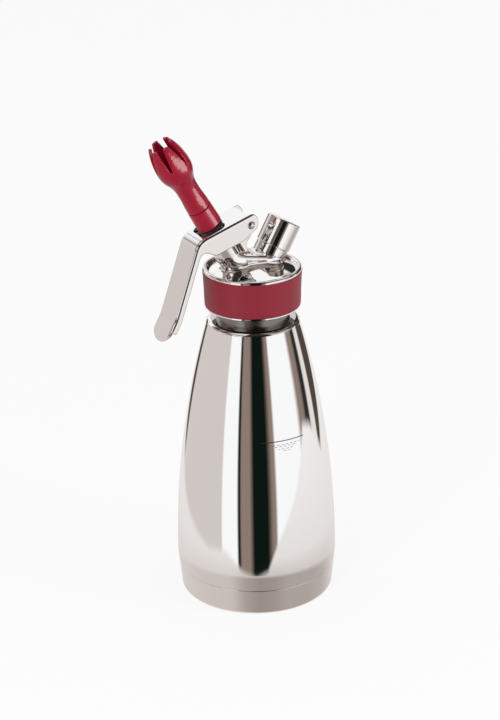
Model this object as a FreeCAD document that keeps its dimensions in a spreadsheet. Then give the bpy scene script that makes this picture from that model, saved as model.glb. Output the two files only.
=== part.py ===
"""Insulated whipped cream dispenser, as a parametric FreeCAD document.

Millimetres, +Z up. The origin is the centre of the flat underside of the base. The bottle is
turned about Z. The head is symmetric about the XZ plane: the dispensing valve leans towards -X,
the charger port leans towards +X, and the lever hangs down on the -X side.
"""

import FreeCAD, Part
import Sketcher
import math
import os

from FreeCAD import Placement, Rotation, Vector

SIZES = {
    # bottle
    "body_radius": 52.55,
    "foot_taper": 0.65,
    "cap_step": 0.2,
    "cap_taper": 1.6,
    "base_corner": 3.0,
    "cap_floor": 1.4,
    "stamp_radius": 30.0,
    "stamp_width": 3.0,
    "stamp_depth": 0.6,
    "seam_height": 18.1,
    "seam_gap": 0.3,
    "belly_height": 26.0,
    "shoulder_radius": 30.4,
    "shoulder_height": 187.2,
    "shoulder_corner": 3.4,
    "shoulder_fall": 0.2,
    "sheet_wall": 1.0,
    "vacuum_gap": 5.5,
    "vessel_floor": 17.0,
    "vessel_corner": 14.0,
    "vessel_flare": 3.4,
    "vessel_flare_height": 6.0,
    "dish_drop": 3.0,
    "dish_lap": 4.0,
    "dish_taper": 0.6,
    "neck_radius": 23.7,
    "neck_wall": 1.75,
    "mouth_height": 216.0,
    "thread_depth": 1.5,
    "thread_length": 13.0,
    "thread_lead": 3.0,
    "thread_ramp": 1.0,
    "mouth_corner": 0.6,
    "weld_gap": 0.05,
    "getter_radius": 7.0,
    "getter_thickness": 2.0,
    "getter_corner": 0.8,
    # head casting
    "thread_clearance": 0.3,
    "edge_bevel": 0.4,
    "collar_foot": 198.8,
    "collar_height": 26.5,
    "collar_radius": 30.1,
    "collar_lip": 1.3,
    "collar_lip_radius": 30.8,
    "rim_radius": 31.7,
    "rim_thickness": 2.0,
    "rim_width": 3.2,
    "rim_drop": 2.3,
    "rim_corner": 1.3,
    "rim_inner_corner": 1.2,
    "rim_draft": 0.4,
    "dome_rise": 6.3,
    "roof_height": 219.0,
    "roof_plate": 2.0,
    # silicone band and gasket
    "band_top_radius": 31.9,
    "band_foot_radius": 30.9,
    "band_draft": 0.2,
    "band_foot_height": 4.5,
    "band_hollow": 260.0,
    "band_corner": 0.7,
    "band_lip": 0.4,
    "gasket_width": 4.2,
    "gasket_thickness": 2.6,
    "gasket_corner": 0.5,
    "seal_gap": 0.2,
    # dispensing valve
    "lean": 30.0,
    "valve_x": -30.2,
    "valve_z": 258.6,
    "turret_radius": 8.4,
    "turret_top": 11.6,
    "turret_foot": 51.2,
    "stem_radius": 4.6,
    "stem_neck_radius": 4.0,
    "stem_bore": 2.6,
    "stem_top": 9.0,
    "stem_port_radius": 1.4,
    "slide_clearance": 0.05,
    "spring_radius": 5.9,
    "spring_wire": 0.5,
    "spring_turns": 5.0,
    "spring_well": 26.0,
    "spring_well_radius": 7.0,
    "thrust_radius": 9.0,
    "thrust_thickness": 2.0,
    "thrust_drop": 6.4,
    "thrust_hub_radius": 4.7,
    "valve_seat": 45.0,
    "valve_chamber_radius": 6.4,
    "valve_head_radius": 7.6,
    "valve_head_thickness": 2.2,
    "valve_head_taper": 1.2,
    "seal_section": 0.5,
    "seal_thickness": 1.1,
    "seal_play": 0.1,
    "seal_groove": 0.6,
    "ring_corner": 0.4,
    # nozzle
    "stop_ring_radius": 7.4,
    "stop_ring_drop": 3.3,
    "adapter_seat": 0.7,
    "fit_gap": 0.3,
    "adapter_radius": 8.3,
    "adapter_taper": 0.4,
    "adapter_length": 14.0,
    "adapter_corner": 1.4,
    "spigot_radius": 5.6,
    "spigot_length": 8.0,
    "spigot_room": 1.5,
    "tip_waist_radius": 7.2,
    "tip_step": 0.15,
    "tip_collar_length": 3.6,
    "tip_neck_curve": 12.0,
    "tip_waist_start": 10.6,
    "tip_waist_curve": 20.0,
    "tip_waist_end": 15.6,
    "tip_flare_curve": 22.0,
    "tip_swell_radius": 9.35,
    "tip_swell_drop": 8.2,
    "tip_swell_curve": 17.0,
    "tip_crown_radius": 11.3,
    "tip_crown_curve": 48.0,
    "tip_length": 51.1,
    "tip_crown_drop": 17.9,
    "tip_mouth_radius": 7.9,
    "tip_wall": 2.1,
    "throat_step": 0.5,
    "socket_room": 0.8,
    "petal_count": 6,
    "slit_depth": 15.4,
    "slit_foot_width": 1.2,
    "slit_corner": 0.54,
    "slit_mouth_width": 4.4,
    # lever
    "pivot_x": -6.1,
    "pivot_z": 256.5,
    "lever_slope": 17.25,
    "lever_width": 22.0,
    "lever_sheet": 1.6,
    "lever_crest": 6.85,
    "lever_reach": 37.2,
    "lever_bend": 12.0,
    "lever_edge": 2.1,
    "lever_nose": 5.8,
    "nose_angle": 16.86,
    "nose_back": 8.24,
    "nose_curve": 6.0,
    "nose_drop": 0.2,
    "nose_flat": 0.9,
    "web_end": 1.0,
    "lever_depth": 14.35,
    "handle_angle": 53.25,
    "handle_length": 52.0,
    "handle_depth": 4.6,
    "handle_flare": 9.6,
    "handle_flare_length": 16.5,
    "flare_curve": 30.0,
    "flare_inner_curve": 22.0,
    "handle_hollow": 5.5,
    "hollow_curve": 4.2,
    "flange_length": 8.0,
    "tongue_length": 7.0,
    "tongue_corner": 8.0,
    "tongue_shoulder": 5.6,
    "tongue_rise": 1.2,
    "tongue_round": 11.5,
    "heel_x": 28.6,
    "heel_corner": 2.6,
    "slot_right": 15.8,
    "slot_left": 32.9,
    "slot_width": 16.0,
    "slot_corner": 5.0,
    "pin_radius": 2.0,
    "pin_fit": 0.02,
    "pin_head_radius": 2.6,
    "pin_head_rise": 1.17,
    "barrel_radius": 4.3,
    "barrel_clearance": 0.35,
    "rib_width": 9.0,
    "rib_depth": 3.0,
    "rib_sweep": 7.0,
    "rib_inset": 4.0,
    "rib_length": 30.0,
    "rib_foot": 3.0,
    "rib_near": 10.0,
    "rib_far": 2.0,
    "lug_back": 4.0,
    "lug_rise": 0.5,
    "lug_root": 1.0,
    "lug_front": 2.4,
    "lug_foot": 3.0,
    "lug_drop": 10.4,
    "lug_sweep": 6.0,
    # charger port
    "port_x": 19.75,
    "port_z": 243.8,
    "port_tube_radius": 10.6,
    "port_tube_foot": 20.0,
    "port_step": 8.9,
    "port_thread_radius": 8.6,
    "port_top": 4.5,
    "port_well_radius": 6.4,
    "port_well_depth": 13.5,
    "gas_bore": 1.6,
    "gas_way": 15.0,
    "boss_height": 234.56,
    "boss_slope": 10.0,
    "boss_edge": 2.5,
    "boss_right": 21.0,
    "boss_right_width": 24.4,
    "boss_right_corner": 10.5,
    "boss_left": 20.1,
    "boss_left_width": 15.3,
    "boss_left_corner": 7.5,
    "cap_radius": 11.2,
    "cap_gap": 0.3,
    "cap_height": 17.8,
    "cap_corner": 1.1,
    "cap_roof": 2.0,
    "washer_play": 0.4,
    "flap_thickness": 1.7,
    "flap_play": 0.15,
    "insert_floor": 5.0,
    "insert_drop": 2.5,
    "cartridge_radius": 4.45,
    "pin_point_radius": 1.1,
    "needle_bore": 0.45,
    "needle_tip_radius": 0.6,
    "needle_shank": 2.6,
    "needle_length": 4.8,
    "insert_clearance": 0.05,
}

SAME_PLACE = 0.01
FULL_TURN = 360

document = FreeCAD.newDocument("whipper")
sheet = document.addObject("Spreadsheet::Sheet", "Sizes")
for row, (name, number) in enumerate(SIZES.items(), start=1):
    sheet.set(f"A{row}", name)
    sheet.set(f"B{row}", str(number))
    sheet.setAlias(f"B{row}", name)
document.recompute()


class Size:
    """A number of the sheet, or one worked out from it, together with its formula."""

    def __init__(self, value, formula):
        self.value = float(value)
        self.formula = formula

    def __add__(self, other):
        other = size(other)
        return Size(self.value + other.value, f"({self.formula} + {other.formula})")

    def __sub__(self, other):
        other = size(other)
        return Size(self.value - other.value, f"({self.formula} - {other.formula})")

    def __mul__(self, other):
        other = size(other)
        return Size(self.value * other.value, f"({self.formula} * {other.formula})")

    def __truediv__(self, other):
        other = size(other)
        return Size(self.value / other.value, f"({self.formula} / {other.formula})")

    def __radd__(self, other):
        return size(other) + self

    def __rsub__(self, other):
        return size(other) - self

    def __rmul__(self, other):
        return size(other) * self

    def __neg__(self):
        return Size(-self.value, f"(-1 * {self.formula})")

    def __float__(self):
        return self.value


def size(number):
    """A plain number as a Size; a Size as it is."""
    return number if isinstance(number, Size) else Size(number, repr(float(number)))


def sine(angle):
    return Size(math.sin(math.radians(angle.value)), f"sin({angle.formula} * 1 deg)")


def cosine(angle):
    return Size(math.cos(math.radians(angle.value)), f"cos({angle.formula} * 1 deg)")


class Sheet:
    """The sheet's cells by alias, as Sizes."""

    def __getattr__(self, alias):
        return Size(sheet.get(alias), f"Sizes.{alias}")


S = Sheet()


# ---------------------------------------------------------------- sketches and features


def new_body(label):
    body = document.addObject("PartDesign::Body", label)
    body.Label = label
    return body


def of_origin(body, role):
    """The body's own plane or axis of that role."""
    return next(item for item in body.Origin.OriginFeatures if item.Role == role)


def bind(target, path, amount):
    """Sets a property of target by the formula of a Size."""
    target.setExpression(path, amount.formula)


def new_sketch(body, role="XZ_Plane", shift=None, turn=None):
    """A sketch on one of the body's own planes, moved by shift and turned in that plane."""
    sketch = body.newObject("Sketcher::SketchObject", "Outline")
    sketch.AttachmentSupport = [(of_origin(body, role), "")]
    sketch.MapMode = "FlatFace"
    shift = [size(part) for part in (shift or (0, 0, 0))]
    angle = size(turn or 0)
    sign = -1 if angle.value < 0 else 1
    sketch.AttachmentOffset = Placement(
        Vector(*(part.value for part in shift)), Rotation(Vector(0, 0, sign), abs(angle.value))
    )
    for axis, part in zip("xyz", shift):
        bind(sketch, f"AttachmentOffset.Base.{axis}", part)
    if angle.value:
        bind(sketch, "AttachmentOffset.Rotation.Angle", sign * angle)
    return sketch


def pin_point(sketch, geometry, end, x, y):
    """Fixes a point of the sketch at x, y by two distances from the origin."""
    for kind, amount in (("DistanceX", size(x)), ("DistanceY", size(y))):
        index = sketch.addConstraint(Sketcher.Constraint(kind, geometry, end, amount.value))
        bind(sketch, f"Constraints[{index}]", amount)


def fix_radius(sketch, geometry, radius):
    index = sketch.addConstraint(Sketcher.Constraint("Radius", geometry, abs(radius.value)))
    bind(sketch, f"Constraints[{index}]", radius if radius.value > 0 else -radius)


def arc_between(centre, first, last, radius):
    """The arc about centre that runs anticlockwise from first to last."""
    a = math.atan2(first.y - centre.y, first.x - centre.x)
    b = math.atan2(last.y - centre.y, last.x - centre.x)
    return Part.ArcOfCircle(Part.Circle(centre, Vector(0, 0, 1), radius), a, b)


def bow(start, end, radius):
    """An arc from start to end. A positive radius bulges to the right of the way it goes."""
    chord = end - start
    left = Vector(-chord.y, chord.x, 0).normalize()
    reach = abs(radius)
    depth = math.sqrt(reach * reach - chord.Length * chord.Length / 4)
    centre = (start + end) / 2 + left * math.copysign(depth, radius)
    if radius > 0:
        return arc_between(centre, start, end, reach)
    return arc_between(centre, end, start, reach)


class Bow:
    """Stands between two corners whose edge is an arc."""

    def __init__(self, radius):
        self.radius = size(radius)


def draw(sketch, *items):
    """Draws a closed outline. An item is a corner (x, y), a rounded corner (x, y, radius) or,
    between two sharp corners, a Bow for an edge that is an arc."""
    corners = []
    bows = {}
    for item in items:
        if isinstance(item, Bow):
            bows[len(corners) - 1] = item.radius
        else:
            corners.append([size(part) for part in item])
    count = len(corners)
    points = [Vector(corner[0].value, corner[1].value, 0) for corner in corners]
    arcs = {}
    starts = list(points)
    ends = list(points)
    for i, corner in enumerate(corners):
        if len(corner) == 3:
            back = (points[i - 1] - points[i]).normalize()
            ahead = (points[(i + 1) % count] - points[i]).normalize()
            half = back.getAngle(ahead) / 2
            setback = corner[2].value / math.tan(half)
            ends[i] = points[i] + back * setback
            starts[i] = points[i] + ahead * setback
            centre = points[i] + (back + ahead).normalize() * (corner[2].value / math.sin(half))
            left = (back.cross(ahead)).z < 0
            first, last = (ends[i], starts[i]) if left else (starts[i], ends[i])
            arcs[i] = (arc_between(centre, first, last, corner[2].value), left)
    edges = []
    for i in range(count):
        j = (i + 1) % count
        if i in bows:
            index = sketch.addGeometry(bow(starts[i], ends[j], bows[i].value), False)
            edges.append((index, 1, 2) if bows[i].value > 0 else (index, 2, 1))
            fix_radius(sketch, index, bows[i])
        else:
            index = sketch.addGeometry(Part.LineSegment(starts[i], ends[j]), False)
            edges.append((index, 1, 2))
    for i, corner in enumerate(corners):
        before = edges[i - 1]
        after = edges[i]
        if i in arcs:
            geometry, left = arcs[i]
            index = sketch.addGeometry(geometry, False)
            entry, leave = (1, 2) if left else (2, 1)
            sketch.addConstraint(Sketcher.Constraint("Tangent", before[0], before[2], index, entry))
            sketch.addConstraint(Sketcher.Constraint("Tangent", index, leave, after[0], after[1]))
            fix_radius(sketch, index, corner[2])
            tip = sketch.addGeometry(Part.Point(points[i]), True)
            sketch.addConstraint(Sketcher.Constraint("PointOnObject", tip, 1, before[0]))
            sketch.addConstraint(Sketcher.Constraint("PointOnObject", tip, 1, after[0]))
            pin_point(sketch, tip, 1, corner[0], corner[1])
        else:
            sketch.addConstraint(Sketcher.Constraint("Coincident", before[0], before[2], after[0], after[1]))
            pin_point(sketch, after[0], after[1], corner[0], corner[1])
    return sketch


def draw_circle(sketch, x, y, radius):
    radius = size(radius)
    centre = Vector(float(size(x)), float(size(y)), 0)
    index = sketch.addGeometry(Part.Circle(centre, Vector(0, 0, 1), radius.value), False)
    pin_point(sketch, index, 3, x, y)
    fix_radius(sketch, index, radius)
    return sketch


def turned(body, sketch, cut=False):
    """Revolves the sketch a full turn about its own vertical axis."""
    kind = "PartDesign::Groove" if cut else "PartDesign::Revolution"
    before = body.Shape.Volume if cut else 0
    feature = body.newObject(kind, "Turned")
    feature.Profile = sketch
    feature.ReferenceAxis = (sketch, ["V_Axis"])
    feature.Angle = FULL_TURN
    document.recompute()
    if cut and body.Shape.Volume >= before:
        raise ValueError(f"{body.Label}: a groove removed nothing")
    return feature


def extruded(body, sketch, length, cut=False, both_ways=True, flip=False):
    """Pads or pockets the sketch by length, half to each side when both_ways."""
    kind = "PartDesign::Pocket" if cut else "PartDesign::Pad"
    before = body.Shape.Volume if cut else 0
    feature = body.newObject(kind, "Extruded")
    feature.Profile = sketch
    feature.SideType = "Symmetric" if both_ways else "One side"
    feature.Reversed = flip
    bind(feature, "Length", size(length))
    document.recompute()
    if cut and body.Shape.Volume >= before:
        raise ValueError(f"{body.Label}: a pocket removed nothing")
    return feature


def rounded(body, radius, wanted):
    """Fillets the edges of the body's tip for which wanted(edge) is true."""
    tip = body.Tip
    names = [f"Edge{i}" for i, edge in enumerate(tip.Shape.Edges, start=1) if wanted(edge)]
    if not names:
        raise ValueError(f"{body.Label}: no edge to round")
    feature = body.newObject("PartDesign::Fillet", "Rounded")
    feature.Base = (tip, names)
    bind(feature, "Radius", size(radius))
    document.recompute()
    return feature


def place(item, x=0, z=0, turn=None, back=False):
    """Puts a sub-part at x, z in the head's plane of symmetry, turned about Y by turn."""
    x = size(x)
    z = size(z)
    item.Placement = Placement(Vector(x.value, 0, z.value), Rotation())
    bind(item, "Placement.Base.x", x)
    bind(item, "Placement.Base.z", z)
    if turn is not None:
        axis = Vector(0, -1 if back else 1, 0)
        item.Placement = Placement(Vector(x.value, 0, z.value), Rotation(axis, turn.value))
        bind(item, "Placement.Rotation.Angle", turn)
    return item


def lathe(label, *outline):
    """A sub-part turned about its own Z axis from one closed half outline."""
    body = new_body(label)
    turned(body, draw(new_sketch(body), *outline))
    return body


def on_valve_axis(item):
    return place(item, S.valve_x, S.valve_z, S.lean, back=True)


def on_port_axis(item):
    return place(item, S.port_x, S.port_z, S.lean)


def upright_arc(run, climb):
    """Radius of an arc that starts upright and moves in by run over the height climb."""
    return (run * run + climb * climb) / (2 * run)


# ---------------------------------------------------------------- bottle


def foot_radius():
    """Radius of the outer wall at its foot, a little inside the belly."""
    return S.body_radius - S.foot_taper


def cap_rim_radius():
    """Radius of the base cap's upper edge, one step inside the wall above it."""
    return foot_radius() - S.cap_step


def base_radius():
    """Radius of the base cap at the table."""
    return cap_rim_radius() - S.cap_taper


def bottle_shell():
    """Outer wall of the vacuum bottle: one long curve from the belly to a small shoulder."""
    wall = S.sheet_wall
    top = S.shoulder_height + S.shoulder_corner
    inner_shoulder = S.shoulder_radius - wall
    side = upright_arc(S.body_radius - S.shoulder_radius, S.shoulder_height - S.belly_height)
    foot = S.seam_height + S.seam_gap
    neck_edge = S.neck_radius + S.weld_gap
    return lathe(
        "bottle_shell",
        (foot_radius(), foot),
        (S.body_radius, S.belly_height),
        Bow(side),
        (S.shoulder_radius, S.shoulder_height),
        Bow(S.shoulder_corner),
        (S.shoulder_radius - S.shoulder_corner, top - S.shoulder_fall),
        (neck_edge, top),
        (neck_edge, top - wall),
        (S.shoulder_radius - S.shoulder_corner, top - S.shoulder_fall - wall),
        Bow(-(S.shoulder_corner - wall)),
        (inner_shoulder, S.shoulder_height),
        Bow(-(side - wall)),
        (S.body_radius - wall, S.belly_height),
        (foot_radius() - wall, foot),
    )


def shell_bottom():
    """Dish welded into the lower end of the outer wall to close the vacuum."""
    wall = S.sheet_wall
    edge = foot_radius() - wall - S.weld_gap
    in_cap = cap_rim_radius() - wall - 2 * S.weld_gap
    top = S.seam_height + S.dish_lap
    floor = S.vessel_floor - S.dish_drop
    return lathe(
        "shell_bottom",
        (0, floor - wall),
        (in_cap - S.dish_taper, floor - wall, 2 * wall),
        (in_cap, S.seam_height),
        (edge, S.seam_height + wall),
        (edge, top),
        (edge - wall, top),
        (edge - wall, S.seam_height + wall),
        (in_cap - wall, S.seam_height),
        (in_cap - S.dish_taper - wall, floor, wall),
        (0, floor),
    )


def base_cap():
    """Pressed steel cup under the bottle, with a stamped ring that stiffens its floor."""
    wall = S.sheet_wall
    half = S.stamp_width / 2
    return lathe(
        "base_cap",
        (0, 0),
        (S.stamp_radius - half, 0),
        (S.stamp_radius, S.stamp_depth),
        (S.stamp_radius + half, 0),
        (base_radius(), 0, S.base_corner),
        (cap_rim_radius(), S.seam_height),
        (cap_rim_radius() - wall, S.seam_height),
        (base_radius() - wall, S.cap_floor, S.base_corner - wall),
        (0, S.cap_floor),
    )


def getter_button():
    """Sealed evacuation button in the middle of the closing dish."""
    top = S.vessel_floor - S.dish_drop - S.sheet_wall - S.weld_gap
    return lathe(
        "getter_button",
        (0, top - S.getter_thickness),
        (S.getter_radius, top - S.getter_thickness, S.getter_corner),
        (S.getter_radius, top),
        (0, top),
    )


def inner_vessel():
    """Inner wall of the vacuum bottle, open at the mouth."""
    wall = S.sheet_wall
    belly = S.body_radius - S.vacuum_gap
    neck = S.neck_radius - S.neck_wall
    floor = S.vessel_floor
    turn = floor + S.vessel_corner
    shoulder = neck + S.vessel_flare
    shoulder_z = S.shoulder_height - S.vacuum_gap
    neck_z = shoulder_z + S.vessel_flare_height
    side = upright_arc(belly - shoulder, shoulder_z - turn)
    return lathe(
        "inner_vessel",
        (0, floor),
        (belly - S.vessel_corner, floor),
        Bow(S.vessel_corner),
        (belly, turn),
        Bow(side),
        (shoulder, shoulder_z),
        (neck, neck_z),
        (neck, S.mouth_height),
        (neck - wall, S.mouth_height),
        (neck - wall, neck_z),
        (shoulder - wall, shoulder_z),
        Bow(-(side - wall)),
        (belly - wall, turn),
        Bow(-(S.vessel_corner - wall)),
        (belly - S.vessel_corner, floor + wall),
        (0, floor + wall),
    )


def neck_ring():
    """Turned steel ring that joins both walls and carries the thread for the head."""
    bore = S.neck_radius - S.neck_wall + S.weld_gap
    crest = S.neck_radius + S.thread_depth
    foot = S.shoulder_height + S.sheet_wall
    top = S.mouth_height
    end = top - S.thread_lead
    start = end - S.thread_length
    return lathe(
        "neck_ring",
        (bore, foot),
        (S.neck_radius, foot),
        (S.neck_radius, start),
        (crest, start + S.thread_ramp),
        (crest, end),
        (crest - S.thread_ramp, end + S.thread_ramp),
        (crest - S.thread_ramp, top, S.mouth_corner),
        (bore, top),
    )


# ---------------------------------------------------------------- head


def head_body():
    """Cast and polished head: threaded collar, rolled rim, shallow dome, leaning valve turret,
    wedge boss with the charger port, and the lug that carries the lever."""
    body = new_body("head_body")
    collar_bore = S.neck_radius + S.thread_depth + S.thread_clearance
    foot = S.collar_foot
    top = foot + S.collar_height
    seat = foot + S.collar_lip
    rim_z = top - S.rim_thickness
    dome_edge = S.rim_radius - S.rim_width
    dome_z = top - S.rim_drop
    dome_top = dome_z + S.dome_rise
    dome = upright_arc(S.dome_rise, dome_edge)
    turned(
        body,
        draw(
            new_sketch(body),
            (collar_bore, foot),
            (S.collar_lip_radius - S.edge_bevel, foot),
            (S.collar_lip_radius, foot + S.edge_bevel),
            (S.collar_lip_radius, seat),
            (S.collar_radius, seat),
            (S.collar_radius, rim_z),
            (S.rim_radius, rim_z),
            (S.rim_radius, top, S.rim_corner),
            (dome_edge + S.rim_draft, top, S.rim_inner_corner),
            (dome_edge, dome_z),
            Bow(dome),
            (0, dome_top),
            (0, S.roof_height),
            (collar_bore, S.roof_height),
        ),
    )

    # boss: a low platform that widens from the turret to the port's tube; its top falls that way
    fall = sine(S.boss_slope) / cosine(S.boss_slope)
    wide = S.boss_right_width / 2
    narrow = S.boss_left_width / 2
    extruded(
        body,
        draw(
            new_sketch(body, "XY_Plane", shift=(0, 0, S.roof_height + S.roof_plate)),
            (S.boss_right, -wide, S.boss_right_corner),
            (S.boss_right, wide, S.boss_right_corner),
            (-S.boss_left, narrow, S.boss_left_corner),
            (-S.boss_left, -narrow, S.boss_left_corner),
        ),
        S.valve_z - S.roof_height - S.roof_plate,
        both_ways=False,
    )
    edge = S.collar_radius
    extruded(
        body,
        draw(
            new_sketch(body),
            (-edge, S.boss_height + fall * edge),
            (edge, S.boss_height - fall * edge),
            (edge, S.valve_z + 1),
            (-edge, S.valve_z + 1),
        ),
        2 * S.boss_right_width,
        cut=True,
    )
    rounded(
        body,
        S.boss_edge,
        lambda edge: all(
            abs(float(S.boss_height - fall * end.X) - end.Z) < SAME_PLACE for end in edge.Vertexes
        ),
    )

    # valve turret, a plain cylinder that also reaches below the roof as the valve's seat
    turned(
        body,
        draw(
            new_sketch(body, shift=(S.valve_x, S.valve_z, 0), turn=S.lean),
            (0, -S.turret_foot),
            (S.turret_radius, -S.turret_foot),
            (S.turret_radius, -S.turret_top - S.edge_bevel),
            (S.turret_radius - S.edge_bevel, -S.turret_top),
            (0, -S.turret_top),
        ),
    )

    # charger port: tube under the cap, then the thread
    turned(
        body,
        draw(
            new_sketch(body, shift=(S.port_x, S.port_z, 0), turn=-S.lean),
            (0, -S.port_tube_foot),
            (S.port_tube_radius, -S.port_tube_foot),
            (S.port_tube_radius, -S.port_step - S.edge_bevel),
            (S.port_tube_radius - S.edge_bevel, -S.port_step),
            (S.port_thread_radius, -S.port_step),
            (S.port_thread_radius, S.port_top - S.edge_bevel),
            (S.port_thread_radius - S.edge_bevel, S.port_top),
            (0, S.port_top),
        ),
    )

    # lug: a rib up the turret that sweeps out over the boss at its foot and ends in the barrel
    # for the lever's pin
    pivot_u, pivot_t = in_valve_frame(S.pivot_x, S.pivot_z)
    sweep_u = S.turret_radius + S.rib_depth
    near_u, near_t = in_valve_frame(-S.rib_near, S.boss_height + fall * S.rib_near)
    far_u, far_t = in_valve_frame(S.rib_far, S.boss_height - fall * S.rib_far)
    sweep_t = near_t + (far_t - near_t) / (far_u - near_u) * (sweep_u - near_u)
    extruded(
        body,
        draw(
            new_sketch(body, shift=(S.valve_x, S.valve_z, 0), turn=S.lean),
            (pivot_u - S.lug_back, pivot_t + S.lug_rise),
            (S.turret_radius - S.lug_root, pivot_t - S.lug_back),
            (S.turret_radius - S.rib_inset, pivot_t - S.rib_length),
            (far_u, far_t - S.rib_foot),
            (far_u, far_t),
            (sweep_u, sweep_t, S.rib_sweep),
            (sweep_u, pivot_t - S.lug_drop, S.lug_sweep),
            (pivot_u + S.lug_front, pivot_t - S.lug_foot),
        ),
        S.rib_width,
    )
    extruded(body, draw_circle(new_sketch(body), S.pivot_x, S.pivot_z, S.barrel_radius), barrel_length())

    # bores: stem, spring well and chamber of the valve, with room for its disc under the
    # turret's foot; well and gas way of the port; pin
    disc_room = S.seal_thickness + S.seal_play + S.valve_head_thickness + S.slide_clearance
    turned(
        body,
        draw(
            new_sketch(body, shift=(S.valve_x, S.valve_z, 0), turn=S.lean),
            (0, -S.turret_foot - disc_room),
            (S.valve_head_radius + S.slide_clearance, -S.turret_foot - disc_room),
            (S.valve_head_radius + S.slide_clearance, -S.turret_foot),
            (S.valve_chamber_radius, -S.turret_foot),
            (S.valve_chamber_radius, -S.valve_seat),
            (S.stem_radius + S.slide_clearance, -S.valve_seat),
            (S.stem_radius + S.slide_clearance, -S.spring_well),
            (S.spring_well_radius, -S.spring_well),
            (S.spring_well_radius, -S.turret_top + 1),
            (0, -S.turret_top + 1),
        ),
        cut=True,
    )
    turned(
        body,
        draw(
            new_sketch(body, shift=(S.port_x, S.port_z, 0), turn=-S.lean),
            (0, -S.port_tube_foot - S.gas_way),
            (S.gas_bore, -S.port_tube_foot - S.gas_way),
            (S.gas_bore, -S.port_well_depth),
            (S.port_well_radius, -S.port_well_depth),
            (S.port_well_radius, S.port_top + 1),
            (0, S.port_top + 1),
        ),
        cut=True,
    )
    pin_bore = draw_circle(new_sketch(body), S.pivot_x, S.pivot_z, S.pin_radius + S.slide_clearance)
    extruded(body, pin_bore, S.lever_width, cut=True)
    return body


def in_valve_frame(x, z):
    """Distance from the valve's axis and height along it of a point of the symmetry plane."""
    run = x - S.valve_x
    rise = z - S.valve_z
    return (
        run * cosine(S.lean) + rise * sine(S.lean),
        rise * cosine(S.lean) - run * sine(S.lean),
    )


def barrel_length():
    return S.lever_width - 2 * (S.lever_sheet + S.barrel_clearance)


def grip_band():
    """Silicone sleeve stretched over the collar between the lip and the rim."""
    bore = S.collar_radius + S.weld_gap
    low = S.collar_foot + S.collar_lip + S.weld_gap
    high = S.collar_foot + S.collar_height - S.rim_thickness - S.weld_gap
    return lathe(
        "grip_band",
        (bore, low),
        (S.band_foot_radius, low, S.band_corner),
        (S.band_foot_radius + S.band_draft, low + S.band_foot_height),
        Bow(-S.band_hollow),
        (S.band_top_radius, high - S.band_lip),
        (S.band_top_radius - S.band_lip, high),
        (bore, high),
    )


def head_gasket():
    """Silicone sealing ring between the mouth of the bottle and the roof of the head."""
    edge = S.neck_radius + S.thread_depth
    low = S.mouth_height + S.seal_gap
    high = low + S.gasket_thickness
    return lathe(
        "head_gasket",
        (edge - S.gasket_width, low, S.gasket_corner),
        (edge, low, S.gasket_corner),
        (edge, high, S.gasket_corner),
        (edge - S.gasket_width, high, S.gasket_corner),
    )


# ---------------------------------------------------------------- dispensing valve


def valve_stem():
    """Hollow piston: a disc closes the turret from below, four ports let the cream in, and a
    thinner neck above the thrust ring carries the nozzle."""
    disc_top = -S.turret_foot - S.seal_thickness - S.seal_play
    disc_foot = disc_top - S.valve_head_thickness
    groove = S.stem_radius + S.slide_clearance - 2 * S.seal_section - S.seal_play
    seal_t = -(S.spring_well + S.valve_seat) / 2
    floor = -S.turret_foot + S.edge_bevel
    step = -S.thrust_drop - S.thrust_thickness
    body = new_body("valve_stem")
    turned(
        body,
        draw(
            new_sketch(body),
            (0, disc_foot),
            (S.valve_head_radius - S.valve_head_taper, disc_foot),
            (S.valve_head_radius, disc_foot + S.valve_head_taper),
            (S.valve_head_radius, disc_top),
            (S.stem_radius, disc_top),
            (S.stem_radius, seal_t - S.seal_groove),
            (groove, seal_t - S.seal_groove),
            (groove, seal_t + S.seal_groove),
            (S.stem_radius, seal_t + S.seal_groove),
            (S.stem_radius, step),
            (S.stem_neck_radius, step),
            (S.stem_neck_radius, S.stem_top - S.edge_bevel),
            (S.stem_neck_radius - S.edge_bevel, S.stem_top),
            (S.stem_bore, S.stem_top),
            (S.stem_bore, floor),
            (0, floor),
        ),
    )
    port_t = floor + S.stem_port_radius + S.edge_bevel
    for role in ("XZ_Plane", "YZ_Plane"):
        hole = draw_circle(new_sketch(body, role), 0, port_t, S.stem_port_radius)
        extruded(body, hole, 2 * S.turret_radius, cut=True)
    return on_valve_axis(body)


def valve_seal():
    """Flat silicone washer on the valve disc, pressed against the foot of the turret."""
    low = -S.turret_foot - S.seal_thickness - S.seal_play / 2
    return on_valve_axis(
        lathe(
            "valve_seal",
            (S.stem_radius + S.seal_play, low),
            (S.valve_head_radius - S.seal_gap, low),
            (S.valve_head_radius - S.seal_gap, low + S.seal_thickness),
            (S.stem_radius + S.seal_play, low + S.seal_thickness),
        )
    )


def ring(label, major, section, height):
    """An O-ring about its own Z axis."""
    body = new_body(label)
    turned(body, draw_circle(new_sketch(body), major, height, section))
    return body


def stem_o_ring():
    """Sliding seal in the groove of the stem."""
    major = S.stem_radius - S.seal_section
    return on_valve_axis(ring("stem_o_ring", major, S.seal_section, -(S.spring_well + S.valve_seat) / 2))


def return_spring():
    """Coil spring round the stem, from the floor of its well to the thrust ring."""
    low = -S.spring_well + S.spring_wire + S.weld_gap
    high = -S.thrust_drop - S.thrust_thickness - S.spring_wire - S.weld_gap
    body = new_body("return_spring")
    section = draw_circle(new_sketch(body), S.spring_radius, low, S.spring_wire)
    coil = body.newObject("PartDesign::AdditiveHelix", "Coil")
    coil.Profile = section
    coil.ReferenceAxis = (section, ["V_Axis"])
    coil.Mode = "height-turns-angle"
    bind(coil, "Height", high - low)
    bind(coil, "Turns", S.spring_turns)
    document.recompute()
    return on_valve_axis(body)


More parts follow.
